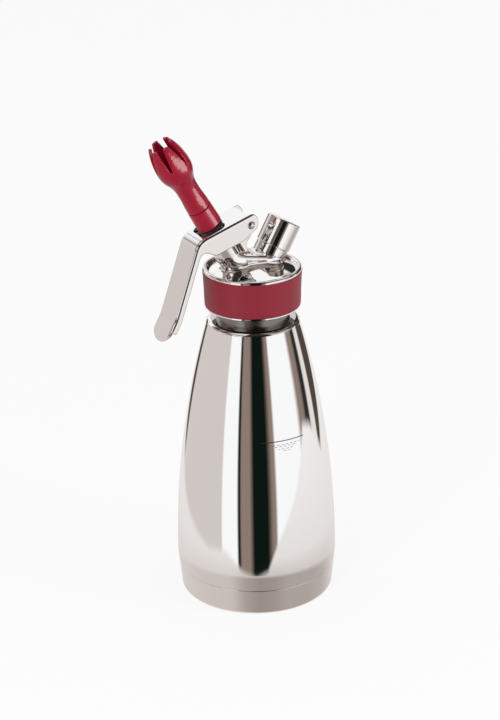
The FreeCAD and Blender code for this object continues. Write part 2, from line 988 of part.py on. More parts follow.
def thrust_ring():
    """Steel flange under the lever's web, with a hub that passes through the slot."""
    bore = S.stem_neck_radius + S.weld_gap
    low = -S.thrust_drop - S.thrust_thickness + S.weld_gap
    return on_valve_axis(
        lathe(
            "thrust_ring",
            (bore, low),
            (S.thrust_radius, low, S.ring_corner),
            (S.thrust_radius, -S.thrust_drop, S.ring_corner),
            (S.thrust_hub_radius, -S.thrust_drop),
            (S.thrust_hub_radius, -S.stop_ring_drop - S.weld_gap),
            (bore, -S.stop_ring_drop - S.weld_gap),
        )
    )


def stop_ring():
    """Black plastic ring on the hub, the seat of the nozzle adapter."""
    bore = S.stem_neck_radius + S.weld_gap
    top = -S.adapter_seat
    return on_valve_axis(
        lathe(
            "stop_ring",
            (bore, -S.stop_ring_drop),
            (S.stop_ring_radius, -S.stop_ring_drop, S.ring_corner),
            (S.stop_ring_radius, top, S.ring_corner),
            (bore, top),
        )
    )


# ---------------------------------------------------------------- nozzle


def nozzle_adapter():
    """Moulded red adapter, screwed on the stem, with a spigot for the decorating tip."""
    low = -S.adapter_seat + S.fit_gap
    high = S.adapter_length
    end = high + S.spigot_length
    bore = S.stem_neck_radius + S.thread_clearance
    return on_valve_axis(
        lathe(
            "nozzle_adapter",
            (bore, low),
            (S.adapter_radius, low, S.adapter_corner),
            (S.adapter_radius - S.adapter_taper, high),
            (S.spigot_radius, high),
            (S.spigot_radius, end - S.edge_bevel),
            (S.spigot_radius - S.edge_bevel, end),
            (S.stem_bore, end),
            (S.stem_bore, S.stem_top + S.spigot_room),
            (bore, S.stem_top + S.spigot_room),
        )
    )


def tulip_tip():
    """Moulded red decorating tip: a ring collar, a waist, and a tulip cup with pointed petals."""
    body = new_body("tulip_tip")
    foot = S.adapter_length + S.fit_gap
    end = foot + S.tip_length
    collar = S.adapter_radius - S.adapter_taper - S.tip_step
    socket = S.spigot_radius + S.fit_gap
    throat = S.tip_waist_radius - S.tip_wall - S.throat_step
    socket_end = S.adapter_length + S.spigot_length + S.socket_room
    crown = end - S.tip_crown_drop
    swell = S.tip_swell_radius
    swell_t = crown - S.tip_swell_drop
    turned(
        body,
        draw(
            new_sketch(body),
            (socket, foot),
            (collar, foot, S.edge_bevel),
            (collar, foot + S.tip_collar_length, S.tip_neck_curve),
            (S.tip_waist_radius, foot + S.tip_waist_start, S.tip_waist_curve),
            (S.tip_waist_radius, foot + S.tip_waist_end),
            Bow(-S.tip_flare_curve),
            (swell, swell_t),
            Bow(S.tip_swell_curve),
            (S.tip_crown_radius, crown),
            Bow(S.tip_crown_curve),
            (S.tip_mouth_radius, end),
            (S.tip_mouth_radius - S.tip_wall, end),
            Bow(S.tip_wall - S.tip_crown_curve),
            (S.tip_crown_radius - S.tip_wall, crown),
            Bow(S.tip_wall - S.tip_swell_curve),
            (swell - S.tip_wall, swell_t),
            Bow(S.tip_flare_curve + S.tip_wall),
            (throat, foot + S.tip_waist_end + S.tip_wall),
            (throat, socket_end),
            (socket, socket_end),
        ),
    )
    slit = extruded(
        body,
        draw(
            new_sketch(body, "YZ_Plane"),
            (-S.slit_mouth_width / 2, end + 1),
            (-S.slit_foot_width / 2, end - S.slit_depth, S.slit_corner),
            (S.slit_foot_width / 2, end - S.slit_depth, S.slit_corner),
            (S.slit_mouth_width / 2, end + 1),
        ),
        2 * S.tip_crown_radius,
        cut=True,
        both_ways=False,
    )
    pattern = body.newObject("PartDesign::PolarPattern", "Slits")
    pattern.Originals = [slit]
    pattern.Axis = (of_origin(body, "Z_Axis"), [""])
    pattern.Angle = FULL_TURN
    bind(pattern, "Occurrences", S.petal_count)
    body.Tip = pattern
    document.recompute()
    return on_valve_axis(body)


# ---------------------------------------------------------------- lever


def along_handle(distance, depth):
    """A point of the lever's side view: down the handle from the corner of the bend, and
    in from its outer face by depth."""
    return (
        depth * sine(S.handle_angle) - S.lever_reach - distance * cosine(S.handle_angle),
        S.lever_crest - distance * sine(S.handle_angle) - depth * cosine(S.handle_angle),
    )


def along_flare(distance, depth):
    """The same for the flared end of the handle, from the start of the flare."""
    angle = S.handle_angle - S.handle_flare
    start = along_handle(S.handle_length, 0)
    return (
        start[0] - distance * cosine(angle) + depth * sine(angle),
        start[1] - distance * sine(angle) - depth * cosine(angle),
    )


def lever():
    """Pressed steel channel: a slotted web over the valve, a bend, and a handle that flares
    out to a round tongue. Its own origin is the pin, its X axis runs along the web."""

    def flare_in(depth):
        return depth * sine(S.handle_flare / 2) / cosine(S.handle_flare / 2)

    body = new_body("lever")
    half = S.lever_width / 2
    inside = S.lever_width - 2 * S.lever_sheet
    low = S.lever_crest - S.lever_depth
    nose_z = S.lever_crest - S.lever_nose
    side = [
        (S.web_end, S.lever_crest),
        (-S.lever_reach, S.lever_crest, S.lever_bend),
        (*along_handle(S.handle_length, 0), S.flare_curve),
        along_flare(S.handle_flare_length, 0),
        along_flare(S.handle_flare_length, S.handle_depth),
        (*along_handle(S.handle_length + flare_in(S.handle_depth), S.handle_depth), S.flare_inner_curve),
        (*along_handle(S.handle_hollow, S.handle_depth), S.hollow_curve),
        (-S.heel_x, low, S.heel_corner),
        (-S.nose_back, low, S.nose_curve),
        (S.lever_nose * sine(S.nose_angle), nose_z - S.lever_nose * cosine(S.nose_angle)),
        Bow(S.lever_nose),
        (S.lever_nose, nose_z - S.nose_drop),
        Bow(S.lever_nose + S.nose_flat),
    ]
    extruded(body, draw(new_sketch(body), *side), S.lever_width)
    reach = float(S.lever_reach)
    crest = float(S.lever_crest)
    lean = math.radians(float(S.handle_angle))
    web_end = float(S.web_end)
    sheet = float(S.lever_sheet)

    def on_the_back(edge):
        middle = edge.valueAt((edge.FirstParameter + edge.LastParameter) / 2)
        inward = (middle.x + reach) * math.sin(lean) - (middle.z - crest) * math.cos(lean)
        on_side = abs(abs(middle.y) - float(half)) < SAME_PLACE and middle.x < web_end
        on_top = middle.z > crest - SAME_PLACE
        return on_side and edge.Length > sheet and (on_top or inward < sheet)

    rounded(body, S.lever_edge, on_the_back)

    bend_in = S.lever_sheet * sine(S.handle_angle / 2) / cosine(S.handle_angle / 2)
    under = S.lever_crest - S.lever_sheet
    extruded(
        body,
        draw(
            new_sketch(body),
            (S.web_end, S.lever_crest + 2),
            (S.web_end, under),
            (bend_in - S.lever_reach, under, S.lever_bend - S.lever_sheet),
            (
                *along_handle(S.handle_length + flare_in(S.lever_sheet), S.lever_sheet),
                S.flare_curve - S.lever_sheet,
            ),
            along_flare(S.handle_flare_length + S.handle_hollow, S.lever_sheet),
            (S.lever_nose + 2, -S.lever_reach - S.handle_length),
            (S.lever_nose + 2, S.lever_crest + 2),
        ),
        inside,
        cut=True,
    )

    # slot of the web for the valve
    right = S.web_end - S.slot_right
    left = S.web_end - S.slot_left
    across = S.slot_width / 2
    extruded(
        body,
        draw(
            new_sketch(body, "XY_Plane"),
            (left, -across, S.slot_corner),
            (right, -across, S.slot_corner),
            (right, across, S.slot_corner),
            (left, across, S.slot_corner),
        ),
        2 * S.lever_crest,
        cut=True,
        both_ways=False,
        flip=True,
    )

    # pin holes, the end of both flanges, then the round end of the tongue seen from above
    pin_hole = draw_circle(new_sketch(body), 0, 0, S.pin_radius + S.pin_fit)
    extruded(body, pin_hole, 2 * S.lever_width, cut=True)
    extruded(
        body,
        draw(
            new_sketch(body),
            along_flare(S.flange_length, S.lever_sheet),
            along_flare(S.flange_length, S.handle_depth + 2),
            along_flare(S.handle_flare_length + 2, S.handle_depth + 2),
            along_flare(S.handle_flare_length + 2, S.lever_sheet),
        ),
        2 * S.lever_width,
        cut=True,
    )
    end = along_flare(S.handle_flare_length, 0)[0]
    extruded(
        body,
        draw(
            new_sketch(body, "XY_Plane"),
            (end + S.tongue_length, -half - 1),
            (end + S.tongue_length, -half),
            Bow(-S.tongue_corner),
            (end + S.tongue_rise, S.tongue_shoulder - half),
            Bow(-S.tongue_round),
            (end + S.tongue_rise, half - S.tongue_shoulder),
            Bow(-S.tongue_corner),
            (end + S.tongue_length, half),
            (end + S.tongue_length, half + 1),
            (end - 2, half + 1),
            (end - 2, -half - 1),
        ),
        4 * S.lever_reach,
        cut=True,
    )
    return place(body, S.pivot_x, S.pivot_z, S.lever_slope, back=True)


def lever_pin():
    """Rivet with two low domed heads that hinges the lever on the head's barrel."""
    body = new_body("lever_pin")
    seat = S.lever_width / 2 + S.weld_gap
    rise = S.pin_head_rise
    dome = upright_arc(rise, S.pin_head_radius)
    turned(
        body,
        draw(
            new_sketch(body, "XY_Plane"),
            (0, -seat - rise),
            Bow(dome),
            (S.pin_head_radius, -seat),
            (S.pin_radius, -seat),
            (S.pin_radius, seat),
            (S.pin_head_radius, seat),
            Bow(dome),
            (0, seat + rise),
        ),
    )
    return place(body, S.pivot_x, S.pivot_z)


# ---------------------------------------------------------------- charger port


def check_valve():
    """Silicone flap at the bottom of the port's well; it lets the gas in and keeps it there."""
    low = -S.port_well_depth + S.weld_gap
    return on_port_axis(
        lathe(
            "check_valve",
            (S.gas_bore / 2, low),
            (S.port_well_radius - S.flap_play, low),
            (S.port_well_radius - S.flap_play, low + S.flap_thickness),
            (S.gas_bore / 2, low + S.flap_thickness),
        )
    )


def insert_foot():
    return 2 * S.weld_gap - S.port_well_depth + S.flap_thickness


def port_insert():
    """Brass seat in the port: a floor that carries the piercing pin, and the cartridge's cup."""
    edge = S.port_well_radius - S.insert_clearance
    low = insert_foot()
    floor = low + S.insert_floor
    top = S.port_top - S.insert_drop
    return on_port_axis(
        lathe(
            "port_insert",
            (S.pin_point_radius + S.insert_clearance, low),
            (edge, low),
            (edge, top, S.edge_bevel),
            (S.cartridge_radius, top, S.edge_bevel),
            (S.cartridge_radius, floor),
            (S.pin_point_radius + S.insert_clearance, floor),
        )
    )


def piercing_pin():
    """Hollow steel needle that pierces the gas cartridge."""
    low = insert_foot()
    floor = low + S.insert_floor
    return on_port_axis(
        lathe(
            "piercing_pin",
            (S.needle_bore, low),
            (S.pin_point_radius, low),
            (S.pin_point_radius, floor + S.needle_shank),
            (S.needle_tip_radius, floor + S.needle_length),
            (S.needle_bore, floor + S.needle_length),
        )
    )


def port_o_ring():
    """Seal round the cartridge's nose, on the floor of the insert."""
    floor = insert_foot() + S.insert_floor
    major = S.cartridge_radius - S.seal_section - S.seal_play
    return on_port_axis(ring("port_o_ring", major, S.seal_section, floor + S.seal_section + S.weld_gap))


def port_cap():
    """Polished screw cap over the charger port."""
    low = -S.port_step + S.cap_gap
    high = low + S.cap_height
    bore = S.port_thread_radius + S.thread_clearance
    return on_port_axis(
        lathe(
            "port_cap",
            (bore, low),
            (S.cap_radius, low, S.edge_bevel),
            (S.cap_radius, high, S.cap_corner),
            (0, high),
            (0, high - S.cap_roof),
            (bore, high - S.cap_roof),
        )
    )


def cap_washer():
    """Silicone disc inside the cap, over the mouth of the port."""
    low = S.port_top + S.cap_gap
    high = -S.port_step + S.cap_gap + S.cap_height - S.cap_roof - S.seal_gap
    return on_port_axis(
        lathe(
            "cap_washer",
            (0, low),
            (S.port_thread_radius - S.washer_play, low),
            (S.port_thread_radius - S.washer_play, high),
            (0, high),
        )
    )


def check_and_write(parts):
    """Stops on any failed feature or invalid solid, then writes one STEP file per sub-part."""
    document.recompute()
    for item in document.Objects:
        if "Invalid" in item.State or "Error" in item.State:
            raise ValueError(f"{item.Label} in {[user.Label for user in item.InListRecursive]} failed")
    for part in parts:
        if part.Shape.isNull() or not part.Shape.isValid():
            raise ValueError(f"{part.Label} has no valid shape")
    os.makedirs("parts", exist_ok=True)
    for part in parts:
        part.Shape.exportStep(f"parts/{part.Label}.step")
        print(part.Label, len(part.Shape.Solids), round(part.Shape.Volume, 2))


check_and_write(
    [
        bottle_shell(),
        shell_bottom(),
        base_cap(),
        getter_button(),
        inner_vessel(),
        neck_ring(),
        head_body(),
        grip_band(),
        head_gasket(),
        valve_stem(),
        valve_seal(),
        stem_o_ring(),
        return_spring(),
        thrust_ring(),
        stop_ring(),
        nozzle_adapter(),
        tulip_tip(),
        lever(),
        lever_pin(),
        check_valve(),
        port_insert(),
        piercing_pin(),
        port_o_ring(),
        port_cap(),
        cap_washer(),
    ]
)
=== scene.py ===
import math

import bmesh
import bpy
import numpy as np
from mathutils import Matrix, Vector


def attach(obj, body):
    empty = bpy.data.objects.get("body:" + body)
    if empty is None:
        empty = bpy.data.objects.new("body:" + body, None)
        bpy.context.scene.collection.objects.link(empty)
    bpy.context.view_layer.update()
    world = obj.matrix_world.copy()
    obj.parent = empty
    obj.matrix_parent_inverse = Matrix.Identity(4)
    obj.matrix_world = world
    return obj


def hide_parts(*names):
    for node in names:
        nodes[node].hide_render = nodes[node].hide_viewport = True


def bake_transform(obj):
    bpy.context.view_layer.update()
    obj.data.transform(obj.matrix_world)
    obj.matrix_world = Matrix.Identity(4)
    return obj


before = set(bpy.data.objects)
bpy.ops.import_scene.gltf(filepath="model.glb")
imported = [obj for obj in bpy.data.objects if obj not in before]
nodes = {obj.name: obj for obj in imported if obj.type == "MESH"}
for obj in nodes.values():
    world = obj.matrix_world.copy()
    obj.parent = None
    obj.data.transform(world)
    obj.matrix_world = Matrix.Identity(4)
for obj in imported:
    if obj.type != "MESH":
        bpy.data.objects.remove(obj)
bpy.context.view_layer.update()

scene = bpy.context.scene
scene.view_settings.view_transform = "Standard"

# ------------------------------------------------------------------ studio
# A pale table, a white surround with dark gaps between its panels, and two soft boxes. Polished
# steel shows nothing of its own, so the surround is what draws the stripes on bottle and head.

camera = bpy.data.objects.new("camera", bpy.data.cameras.new("camera"))
scene.collection.objects.link(camera)
scene.camera = camera
eye = Vector((-0.6438, -1.1565, 0.7156))
looked_at = Vector((-0.00206, 0.00114, 0.1599))
roll = math.radians(-0.96)
ahead = (looked_at - eye).normalized()
across = ahead.cross(Vector((0, 0, 1))).normalized()
right = across * math.cos(roll) + across.cross(ahead) * math.sin(roll)
camera.matrix_world = Matrix(
    [(right[i], right.cross(ahead)[i], -ahead[i], eye[i]) for i in range(3)] + [(0, 0, 0, 1)]
)
camera.data.sensor_width = 36.0
camera.data.lens = 110.8
camera.data.clip_start = 0.05
camera.data.clip_end = 60.0


def wire(tree, *links):
    """Joins sockets, each link given as (from node, its socket, to node, its socket)."""
    for source, output, target, entry in links:
        tree.links.new(source.outputs[output], target.inputs[entry])


def maths(tree, operation, a, b=0.0, c=0.0):
    """A Math node; a, b and c are numbers or (node, socket) pairs. Returns (node, socket)."""
    node = tree.nodes.new("ShaderNodeMath")
    node.operation = operation
    for index, value in enumerate((a, b, c)):
        if isinstance(value, tuple):
            tree.links.new(value[0].outputs[value[1]], node.inputs[index])
        else:
            node.inputs[index].default_value = value
    return node, 0


def srgb(*levels):
    """Linear colour of three 0 to 255 display levels: the inverse of the display curve."""
    shares = [level / 255 for level in levels]
    return tuple(s / 12.92 if s < 0.04045 else ((s + 0.055) / 1.055) ** 2.4 for s in shares) + (1.0,)


def ramp(tree, factor, stops):
    """A colour ramp through (place, colour) stops, its factor from a (node, socket) pair."""
    node = tree.nodes.new("ShaderNodeValToRGB")
    elements = node.color_ramp.elements
    for element, stop in zip(elements, stops):
        element.position, element.color = stop
    for place, colour in stops[2:]:
        elements.new(place).color = colour
    wire(tree, (*factor, node, "Fac"))
    return node, 0


def mixed(tree, share, low, high):
    """The colour low where the share is 0 and high where it is 1; each is a colour of four
    numbers or a (node, socket) pair."""
    node = tree.nodes.new("ShaderNodeMix")
    node.data_type = "RGBA"
    wire(tree, (*share, node, 0))
    for index, colour in ((6, low), (7, high)):
        if len(colour) == 2:
            wire(tree, (*colour, node, index))
        else:
            node.inputs[index].default_value = colour
    return node, 2


surround = bpy.data.worlds.new("surround")
scene.world = surround
surround.use_nodes = True
tree = surround.node_tree
tree.nodes.clear()
heading = math.degrees(math.atan2(eye.y, eye.x))
where = tree.nodes.new("ShaderNodeTexCoord")
turn = tree.nodes.new("ShaderNodeMapping")
turn.inputs["Rotation"].default_value[2] = -math.radians(heading)
parts = tree.nodes.new("ShaderNodeSeparateXYZ")
wire(tree, (where, "Generated", turn, "Vector"), (turn, "Vector", parts, "Vector"))
place = maths(tree, "MULTIPLY_ADD", maths(tree, "ARCTAN2", (parts, 1), (parts, 0)), 0.5 / math.pi, 0.5)
rise = maths(tree, "MULTIPLY", maths(tree, "ARCSINE", (parts, 2)), 180 / math.pi)

white = srgb(249, 250, 251)
pale = srgb(226, 221, 218)
card = srgb(208, 200, 197)
taupe = srgb(152, 138, 129)
brown = srgb(140, 123, 114)
umber = srgb(78, 68, 60)
soot = srgb(47, 43, 38)
night = srgb(12, 22, 19)


def around(*stops):
    """Colour by bearing, in degrees to the right of the camera's side."""
    return ramp(tree, place, [((bearing + 180) / 360, colour) for bearing, colour in stops])


def stacked(lower, upper, start, depth):
    """Goes over from the colour lower to the colour upper within depth degrees above start."""
    share = maths(tree, "MULTIPLY_ADD", rise, 1 / depth, -start / depth)
    share[0].use_clamp = True
    return mixed(tree, share, lower, upper)


# the room by height: panels that the bottle shows, two rows of shelves, beams and the ceiling
panels = around(
    (-180, pale), (-157, pale), (-155, umber), (-143, umber), (-140, card), (-52, card), (-50, white),
    (-28, white), (-26, night), (-23.5, night), (-21.5, brown), (-9, brown), (-5, umber), (-3, night),
    (17, night), (20, umber), (25, brown), (29, brown), (32, white), (75, white), (82, brown),
    (91, brown), (97, soot), (104, soot), (108, pale), (118, pale), (121, umber), (148, umber),
    (152, pale),
)
low_shelves = around(
    (-180, card), (-174, card), (-170, white), (-158, white), (-154, card), (-148, white), (-128, pale),
    (-116, card), (-108, taupe), (-76, taupe), (-68, umber), (-60, soot), (-38, soot), (-31, brown),
    (-10, brown), (-3, night), (38, night), (46, card), (98, card), (106, taupe), (122, umber),
    (140, umber), (149, soot), (168, soot), (173, card),
)
shelves = around(
    (-180, card), (-174, card), (-170, white), (-158, white), (-154, card), (-148, white), (-130, white),
    (-122, brown), (-112, taupe), (-56, taupe), (-50, white), (-28, white), (-25, brown), (-16, umber),
    (-4, night), (42, night), (49, card), (98, taupe), (104, umber), (140, umber), (149, soot),
    (168, soot), (173, card),
)
beams = around(
    (-180, pale), (-174, pale), (-170, white), (-142, white), (-137, umber), (-108, soot), (-100, brown),
    (-56, brown), (-50, soot), (40, soot), (48, taupe), (98, taupe), (104, umber), (146, umber),
    (152, brown), (158, white),
)
ceiling = around(
    (-180, white), (-158, white), (-152, taupe), (-110, taupe), (-100, brown), (-70, pale), (-26, pale),
    (-18, soot), (40, soot), (48, taupe), (68, taupe), (76, soot), (122, umber), (134, white),
)
walls = panels
for row, start in ((low_shelves, 7.0), (shelves, 15.0), (beams, 29.0), (ceiling, 43.0)):
    walls = stacked(walls, row, start, 4.0)

# the table ends a short way in front of the bottle, and every panel stands on its edge; a ramp
# holds how low the edge is seen at each bearing, as a grey whose share of deepest is the angle
deepest = 40.0
edge = (
    (-180, 12), (-150, 20), (-128, 22), (-75, 24.5), (-45, 24), (-20, 27), (0, 28), (16, 27),
    (30, 23), (60, 17), (85, 10), (100, 12), (125, 18), (160, 14),
)
sill = around(*[(bearing, (drop / deepest,) * 3 + (1.0,)) for bearing, drop in edge])
over_edge = maths(tree, "MULTIPLY_ADD", sill, deepest, rise)
above = maths(tree, "MULTIPLY_ADD", over_edge, 0.8, 0.5)
above[0].use_clamp = True
table_tone = ramp(
    tree, maths(tree, "MULTIPLY_ADD", rise, 1 / 90, 1.0),
    [(0.0, srgb(186, 176, 169)), (0.55, srgb(214, 208, 204)), (0.68, srgb(224, 219, 216)), (1.0, white)],
)
# near the foot the dispenser shades the table, most on the side that faces the camera
shaded = around(
    (-180, card), (-124, card), (-90, srgb(203, 194, 189)), (-41, srgb(199, 190, 185)),
    (-18, srgb(168, 158, 152)), (4, srgb(153, 142, 136)), (27, srgb(158, 148, 142)),
    (50, srgb(172, 162, 156)), (90, srgb(173, 163, 158)), (120, srgb(182, 173, 168)), (150, card),
)
table = stacked(shaded, table_tone, -32.0, 7.0)
reflected = tree.nodes.new("ShaderNodeBackground")
wire(tree, (*mixed(tree, above, table, walls), reflected, "Color"))
reflected.inputs["Strength"].default_value = 1.06
open_air = tree.nodes.new("ShaderNodeBackground")
open_air.inputs["Color"].default_value = (1, 1, 1, 1)
even = tree.nodes.new("ShaderNodeBackground")
even.inputs["Color"].default_value = (1.0, 0.985, 0.975, 1)
even.inputs["Strength"].default_value = 0.62
rays = tree.nodes.new("ShaderNodeLightPath")
by_gloss = tree.nodes.new("ShaderNodeMixShader")
by_camera = tree.nodes.new("ShaderNodeMixShader")
out = tree.nodes.new("ShaderNodeOutputWorld")
wire(
    tree,
    (rays, "Is Glossy Ray", by_gloss, 0), (even, 0, by_gloss, 1), (reflected, 0, by_gloss, 2),
    (rays, "Is Camera Ray", by_camera, 0), (by_gloss, 0, by_camera, 1), (open_air, 0, by_camera, 2),
    (by_camera, 0, out, "Surface"),
)

side = 5.0
floor_mesh = bpy.data.meshes.new("floor")
floor_mesh.from_pydata(
    [(-side, -side, 0), (side, -side, 0), (side, side, 0), (-side, side, 0)], [], [(0, 1, 2, 3)]
)
floor = bpy.data.objects.new("floor", floor_mesh)
scene.collection.objects.link(floor)
floor.visible_glossy = False
paper = bpy.data.materials.new("floor_paper")
paper.use_nodes = True
tree = paper.node_tree
tree.nodes.clear()
lit = tree.nodes.new("ShaderNodeBsdfDiffuse")
lit.inputs["Color"].default_value = (0.93, 0.93, 0.93, 1)
glow = tree.nodes.new("ShaderNodeEmission")
rays = tree.nodes.new("ShaderNodeLightPath")
share = maths(tree, "MULTIPLY", (rays, "Is Camera Ray"), 0.86)
blend = tree.nodes.new("ShaderNodeMixShader")
out = tree.nodes.new("ShaderNodeOutputMaterial")
wire(tree, (*share, blend, 0), (lit, 0, blend, 1), (glow, 0, blend, 2), (blend, 0, out, "Surface"))
floor_mesh.materials.append(paper)


def soft_box(name, spot, aim, width, height, power):
    """A rectangular lamp at spot that faces aim and that the camera doesn't see."""
    lamp = bpy.data.lights.new(name, "AREA")
    lamp.shape = "RECTANGLE"
    lamp.size = width
    lamp.size_y = height
    lamp.energy = power
    holder = bpy.data.objects.new(name, lamp)
    holder.location = spot
    holder.rotation_euler = (Vector(aim) - Vector(spot)).to_track_quat("-Z", "Y").to_euler()
    scene.collection.objects.link(holder)
    holder.visible_camera = False
    return holder


belly_spot = (0, 0, 0.15)
soft_box("left_box", (-1.5, -0.9, 1.3), belly_spot, 0.7, 1.1, 13.0).visible_glossy = False
soft_box("right_box", (1.1, -1.5, 1.5), belly_spot, 0.8, 1.2, 13.0).visible_glossy = False

# ------------------------------------------------------------------ bottle wall
# The outer wall of the vacuum bottle: stainless steel sheet, spun to one long curve and mirror
# polished on a lathe, so its finest marks run round it. It is welded to the neck at the top.


def outline(*items):
    """Dense points of a closed outline. An item is a corner (x, y), a rounded corner
    (x, y, radius), or a lone number between two corners: the radius of the arc that joins them,
    positive where it bulges to the right of the way. A point of an arc is its centre plus its
    radius times (cos, sin) of an angle that steps by 4 degrees or less."""
    corners = [np.array(item[:2], float) for item in items if isinstance(item, tuple)]
    radii = [item[2] if len(item) == 3 else 0.0 for item in items if isinstance(item, tuple)]
    bows, seen = {}, 0
    for item in items:
        if isinstance(item, tuple):
            seen += 1
        else:
            bows[seen - 1] = float(item)
    count = len(corners)

    def sweep(centre, start, end, radius):
        """Points of the arc round centre that goes the short way from start to end."""
        a = math.atan2(*(start - centre)[::-1])
        b = math.atan2(*(end - centre)[::-1])
        span = (b - a + math.pi) % (2 * math.pi) - math.pi
        steps = max(2, int(abs(span) / math.radians(4)) + 1, int(abs(span) * radius / 4) + 1)
        angles = a + span * np.linspace(0, 1, steps + 1)
        return centre + radius * np.stack([np.cos(angles), np.sin(angles)], 1)

    points = []
    for i, corner in enumerate(corners):
        if radii[i]:
            back = corners[i - 1] - corner
            ahead = corners[(i + 1) % count] - corner
            back /= np.linalg.norm(back)
            ahead /= np.linalg.norm(ahead)
            half = math.acos(np.clip(back @ ahead, -1, 1)) / 2
            setback = radii[i] / math.tan(half)
            middle = back + ahead
            centre = corner + middle / np.linalg.norm(middle) * radii[i] / math.sin(half)
            points.extend(sweep(centre, corner + back * setback, corner + ahead * setback, radii[i]))
        else:
            points.append(corner)
        if i in bows:
            start, end, radius = points[-1], corners[(i + 1) % count], bows[i]
            chord = end - start
            length = np.linalg.norm(chord)
            left = np.array([-chord[1], chord[0]]) / length
            depth = math.copysign(math.sqrt(radius * radius - length * length / 4), radius)
            points.extend(sweep((start + end) / 2 + left * depth, start, end, abs(radius))[1:-1])
    points = np.array(points)
    gaps = np.linalg.norm(points - np.roll(points, 1, 0), axis=1)
    return points[gaps > 1e-6]


def quad_mesh(name, points, quads):
    """A smooth mesh from (n, 3) points in millimetres and (m, 4) numbers of its faces' corners."""
    mesh = bpy.data.meshes.new(name)
    mesh.vertices.add(len(points))
    mesh.vertices.foreach_set("co", (points / 1000).astype(np.float32).ravel())
    mesh.loops.add(quads.size)
    mesh.loops.foreach_set("vertex_index", quads.astype(np.int32).ravel())
    mesh.polygons.add(len(quads))
    mesh.polygons.foreach_set("loop_start", np.arange(0, quads.size, 4, dtype=np.int32))
    mesh.polygons.foreach_set("use_smooth", np.ones(len(quads), bool))
    mesh.update(calc_edges=True)
    return mesh


def sheet_of(name, grid, ring=True):
    """A mesh over an (n, m, 3) grid of points, with a face between each four neighbours. Its
    second direction closes on itself, and with ring its first does too."""
    n, m = grid.shape[:2]
    index = np.arange(n * m).reshape(n, m)
    index = np.vstack([index, index[:1]]) if ring else index
    index = np.hstack([index, index[:, :1]])
    quads = np.stack([index[:-1, :-1], index[1:, :-1], index[1:, 1:], index[:-1, 1:]], -1)
    return quad_mesh(name, grid.reshape(-1, 3), quads.reshape(-1, 4))


def creased(mesh, crease):
    """Shades the mesh smooth except at edges sharper than crease, in degrees."""
    mesh.polygons.foreach_set("use_smooth", np.ones(len(mesh.polygons), bool))
    mesh.set_sharp_from_angle(angle=math.radians(crease))
    return mesh


def closed_up(mesh, crease=35.0):
    """Merges the double points at poles, turns every face outwards, and sets the creases."""
    shape = bmesh.new()
    shape.from_mesh(mesh)
    bmesh.ops.remove_doubles(shape, verts=shape.verts, dist=2e-6)
    bmesh.ops.dissolve_degenerate(shape, edges=shape.edges, dist=1e-7)
    bmesh.ops.recalc_face_normals(shape, faces=shape.faces)
    shape.to_mesh(mesh)
    shape.free()
    return creased(mesh, crease)


def leant(grid, origin, lean):
    """The points turned by lean degrees about Y, so that +Z leans towards +X, then moved."""
    x, y, z = np.moveaxis(grid, -1, 0)
    c, s = math.cos(math.radians(lean)), math.sin(math.radians(lean))
    return np.stack([x * c + z * s, y, z * c - x * s], -1) + np.array(origin, float)


def lathe_grid(profile, steps=160, origin=(0, 0, 0), lean=0.0):
    """Surface of revolution: radius r and height t of the profile at angle a give
    (r cos a, r sin a, t), which is then leant and moved."""
    a = np.linspace(0, 2 * math.pi, steps, endpoint=False)[:, None]
    r, t = profile[:, 0][None, :], profile[:, 1][None, :]
    return leant(np.stack([r * np.cos(a), r * np.sin(a), t + 0 * a], -1), origin, lean)


def made_piece(name, mesh, body, finish, *stands_for, slot=None):
    """Links the mesh as a piece that rides on body, wears finish and stands for CAD nodes."""
    piece = bpy.data.objects.new(name, mesh)
    scene.collection.objects.link(piece)
    mesh.materials.clear()
    mesh.materials.append(finish)
    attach(piece, body)
    if stands_for:
        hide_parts(*stands_for)
    return piece


def polish_marks():
    """Group: faint handling marks of polished metal. Smears is cloudy noise, and hairlines is
    noise drawn out along Z or round it, so that the marks follow the polishing."""
    group = bpy.data.node_groups.new("polish marks", "ShaderNodeTree")
    for label, value in (("Scale", 40.0), ("Smears", 0.02), ("Hairlines", 0.02), ("Base", 0.03)):
        socket = group.interface.new_socket(label, in_out="INPUT", socket_type="NodeSocketFloat")
        socket.default_value = value
    stretch = group.interface.new_socket("Stretch", in_out="INPUT", socket_type="NodeSocketVector")
    stretch.default_value = (1, 1, 30)
    group.interface.new_socket("Roughness", in_out="OUTPUT", socket_type="NodeSocketFloat")
    start = group.nodes.new("NodeGroupInput")
    end = group.nodes.new("NodeGroupOutput")
    where = group.nodes.new("ShaderNodeTexCoord")
    cloud = group.nodes.new("ShaderNodeTexNoise")
    cloud.inputs["Detail"].default_value = 3.0
    fine = group.nodes.new("ShaderNodeTexNoise")
    fine.inputs["Scale"].default_value = 60.0
    fine.inputs["Detail"].default_value = 4.0
    drawn = group.nodes.new("ShaderNodeVectorMath")
    drawn.operation = "MULTIPLY"
    wire(
        group,
        (where, "Object", cloud, "Vector"), (start, "Scale", cloud, "Scale"),
        (where, "Object", drawn, 0), (start, "Stretch", drawn, 1), (drawn, 0, fine, "Vector"),
    )
    cloudy = maths(group, "SUBTRACT", (cloud, 0), 0.45)
    cloudy[0].use_clamp = True
    smear = maths(group, "MULTIPLY", cloudy, (start, "Smears"))
    hair = maths(group, "MULTIPLY", (fine, 0), (start, "Hairlines"))
    total = maths(group, "ADD", maths(group, "ADD", smear, hair), (start, "Base"))
    wire(group, (*total, end, "Roughness"))
    return group


marks = polish_marks()


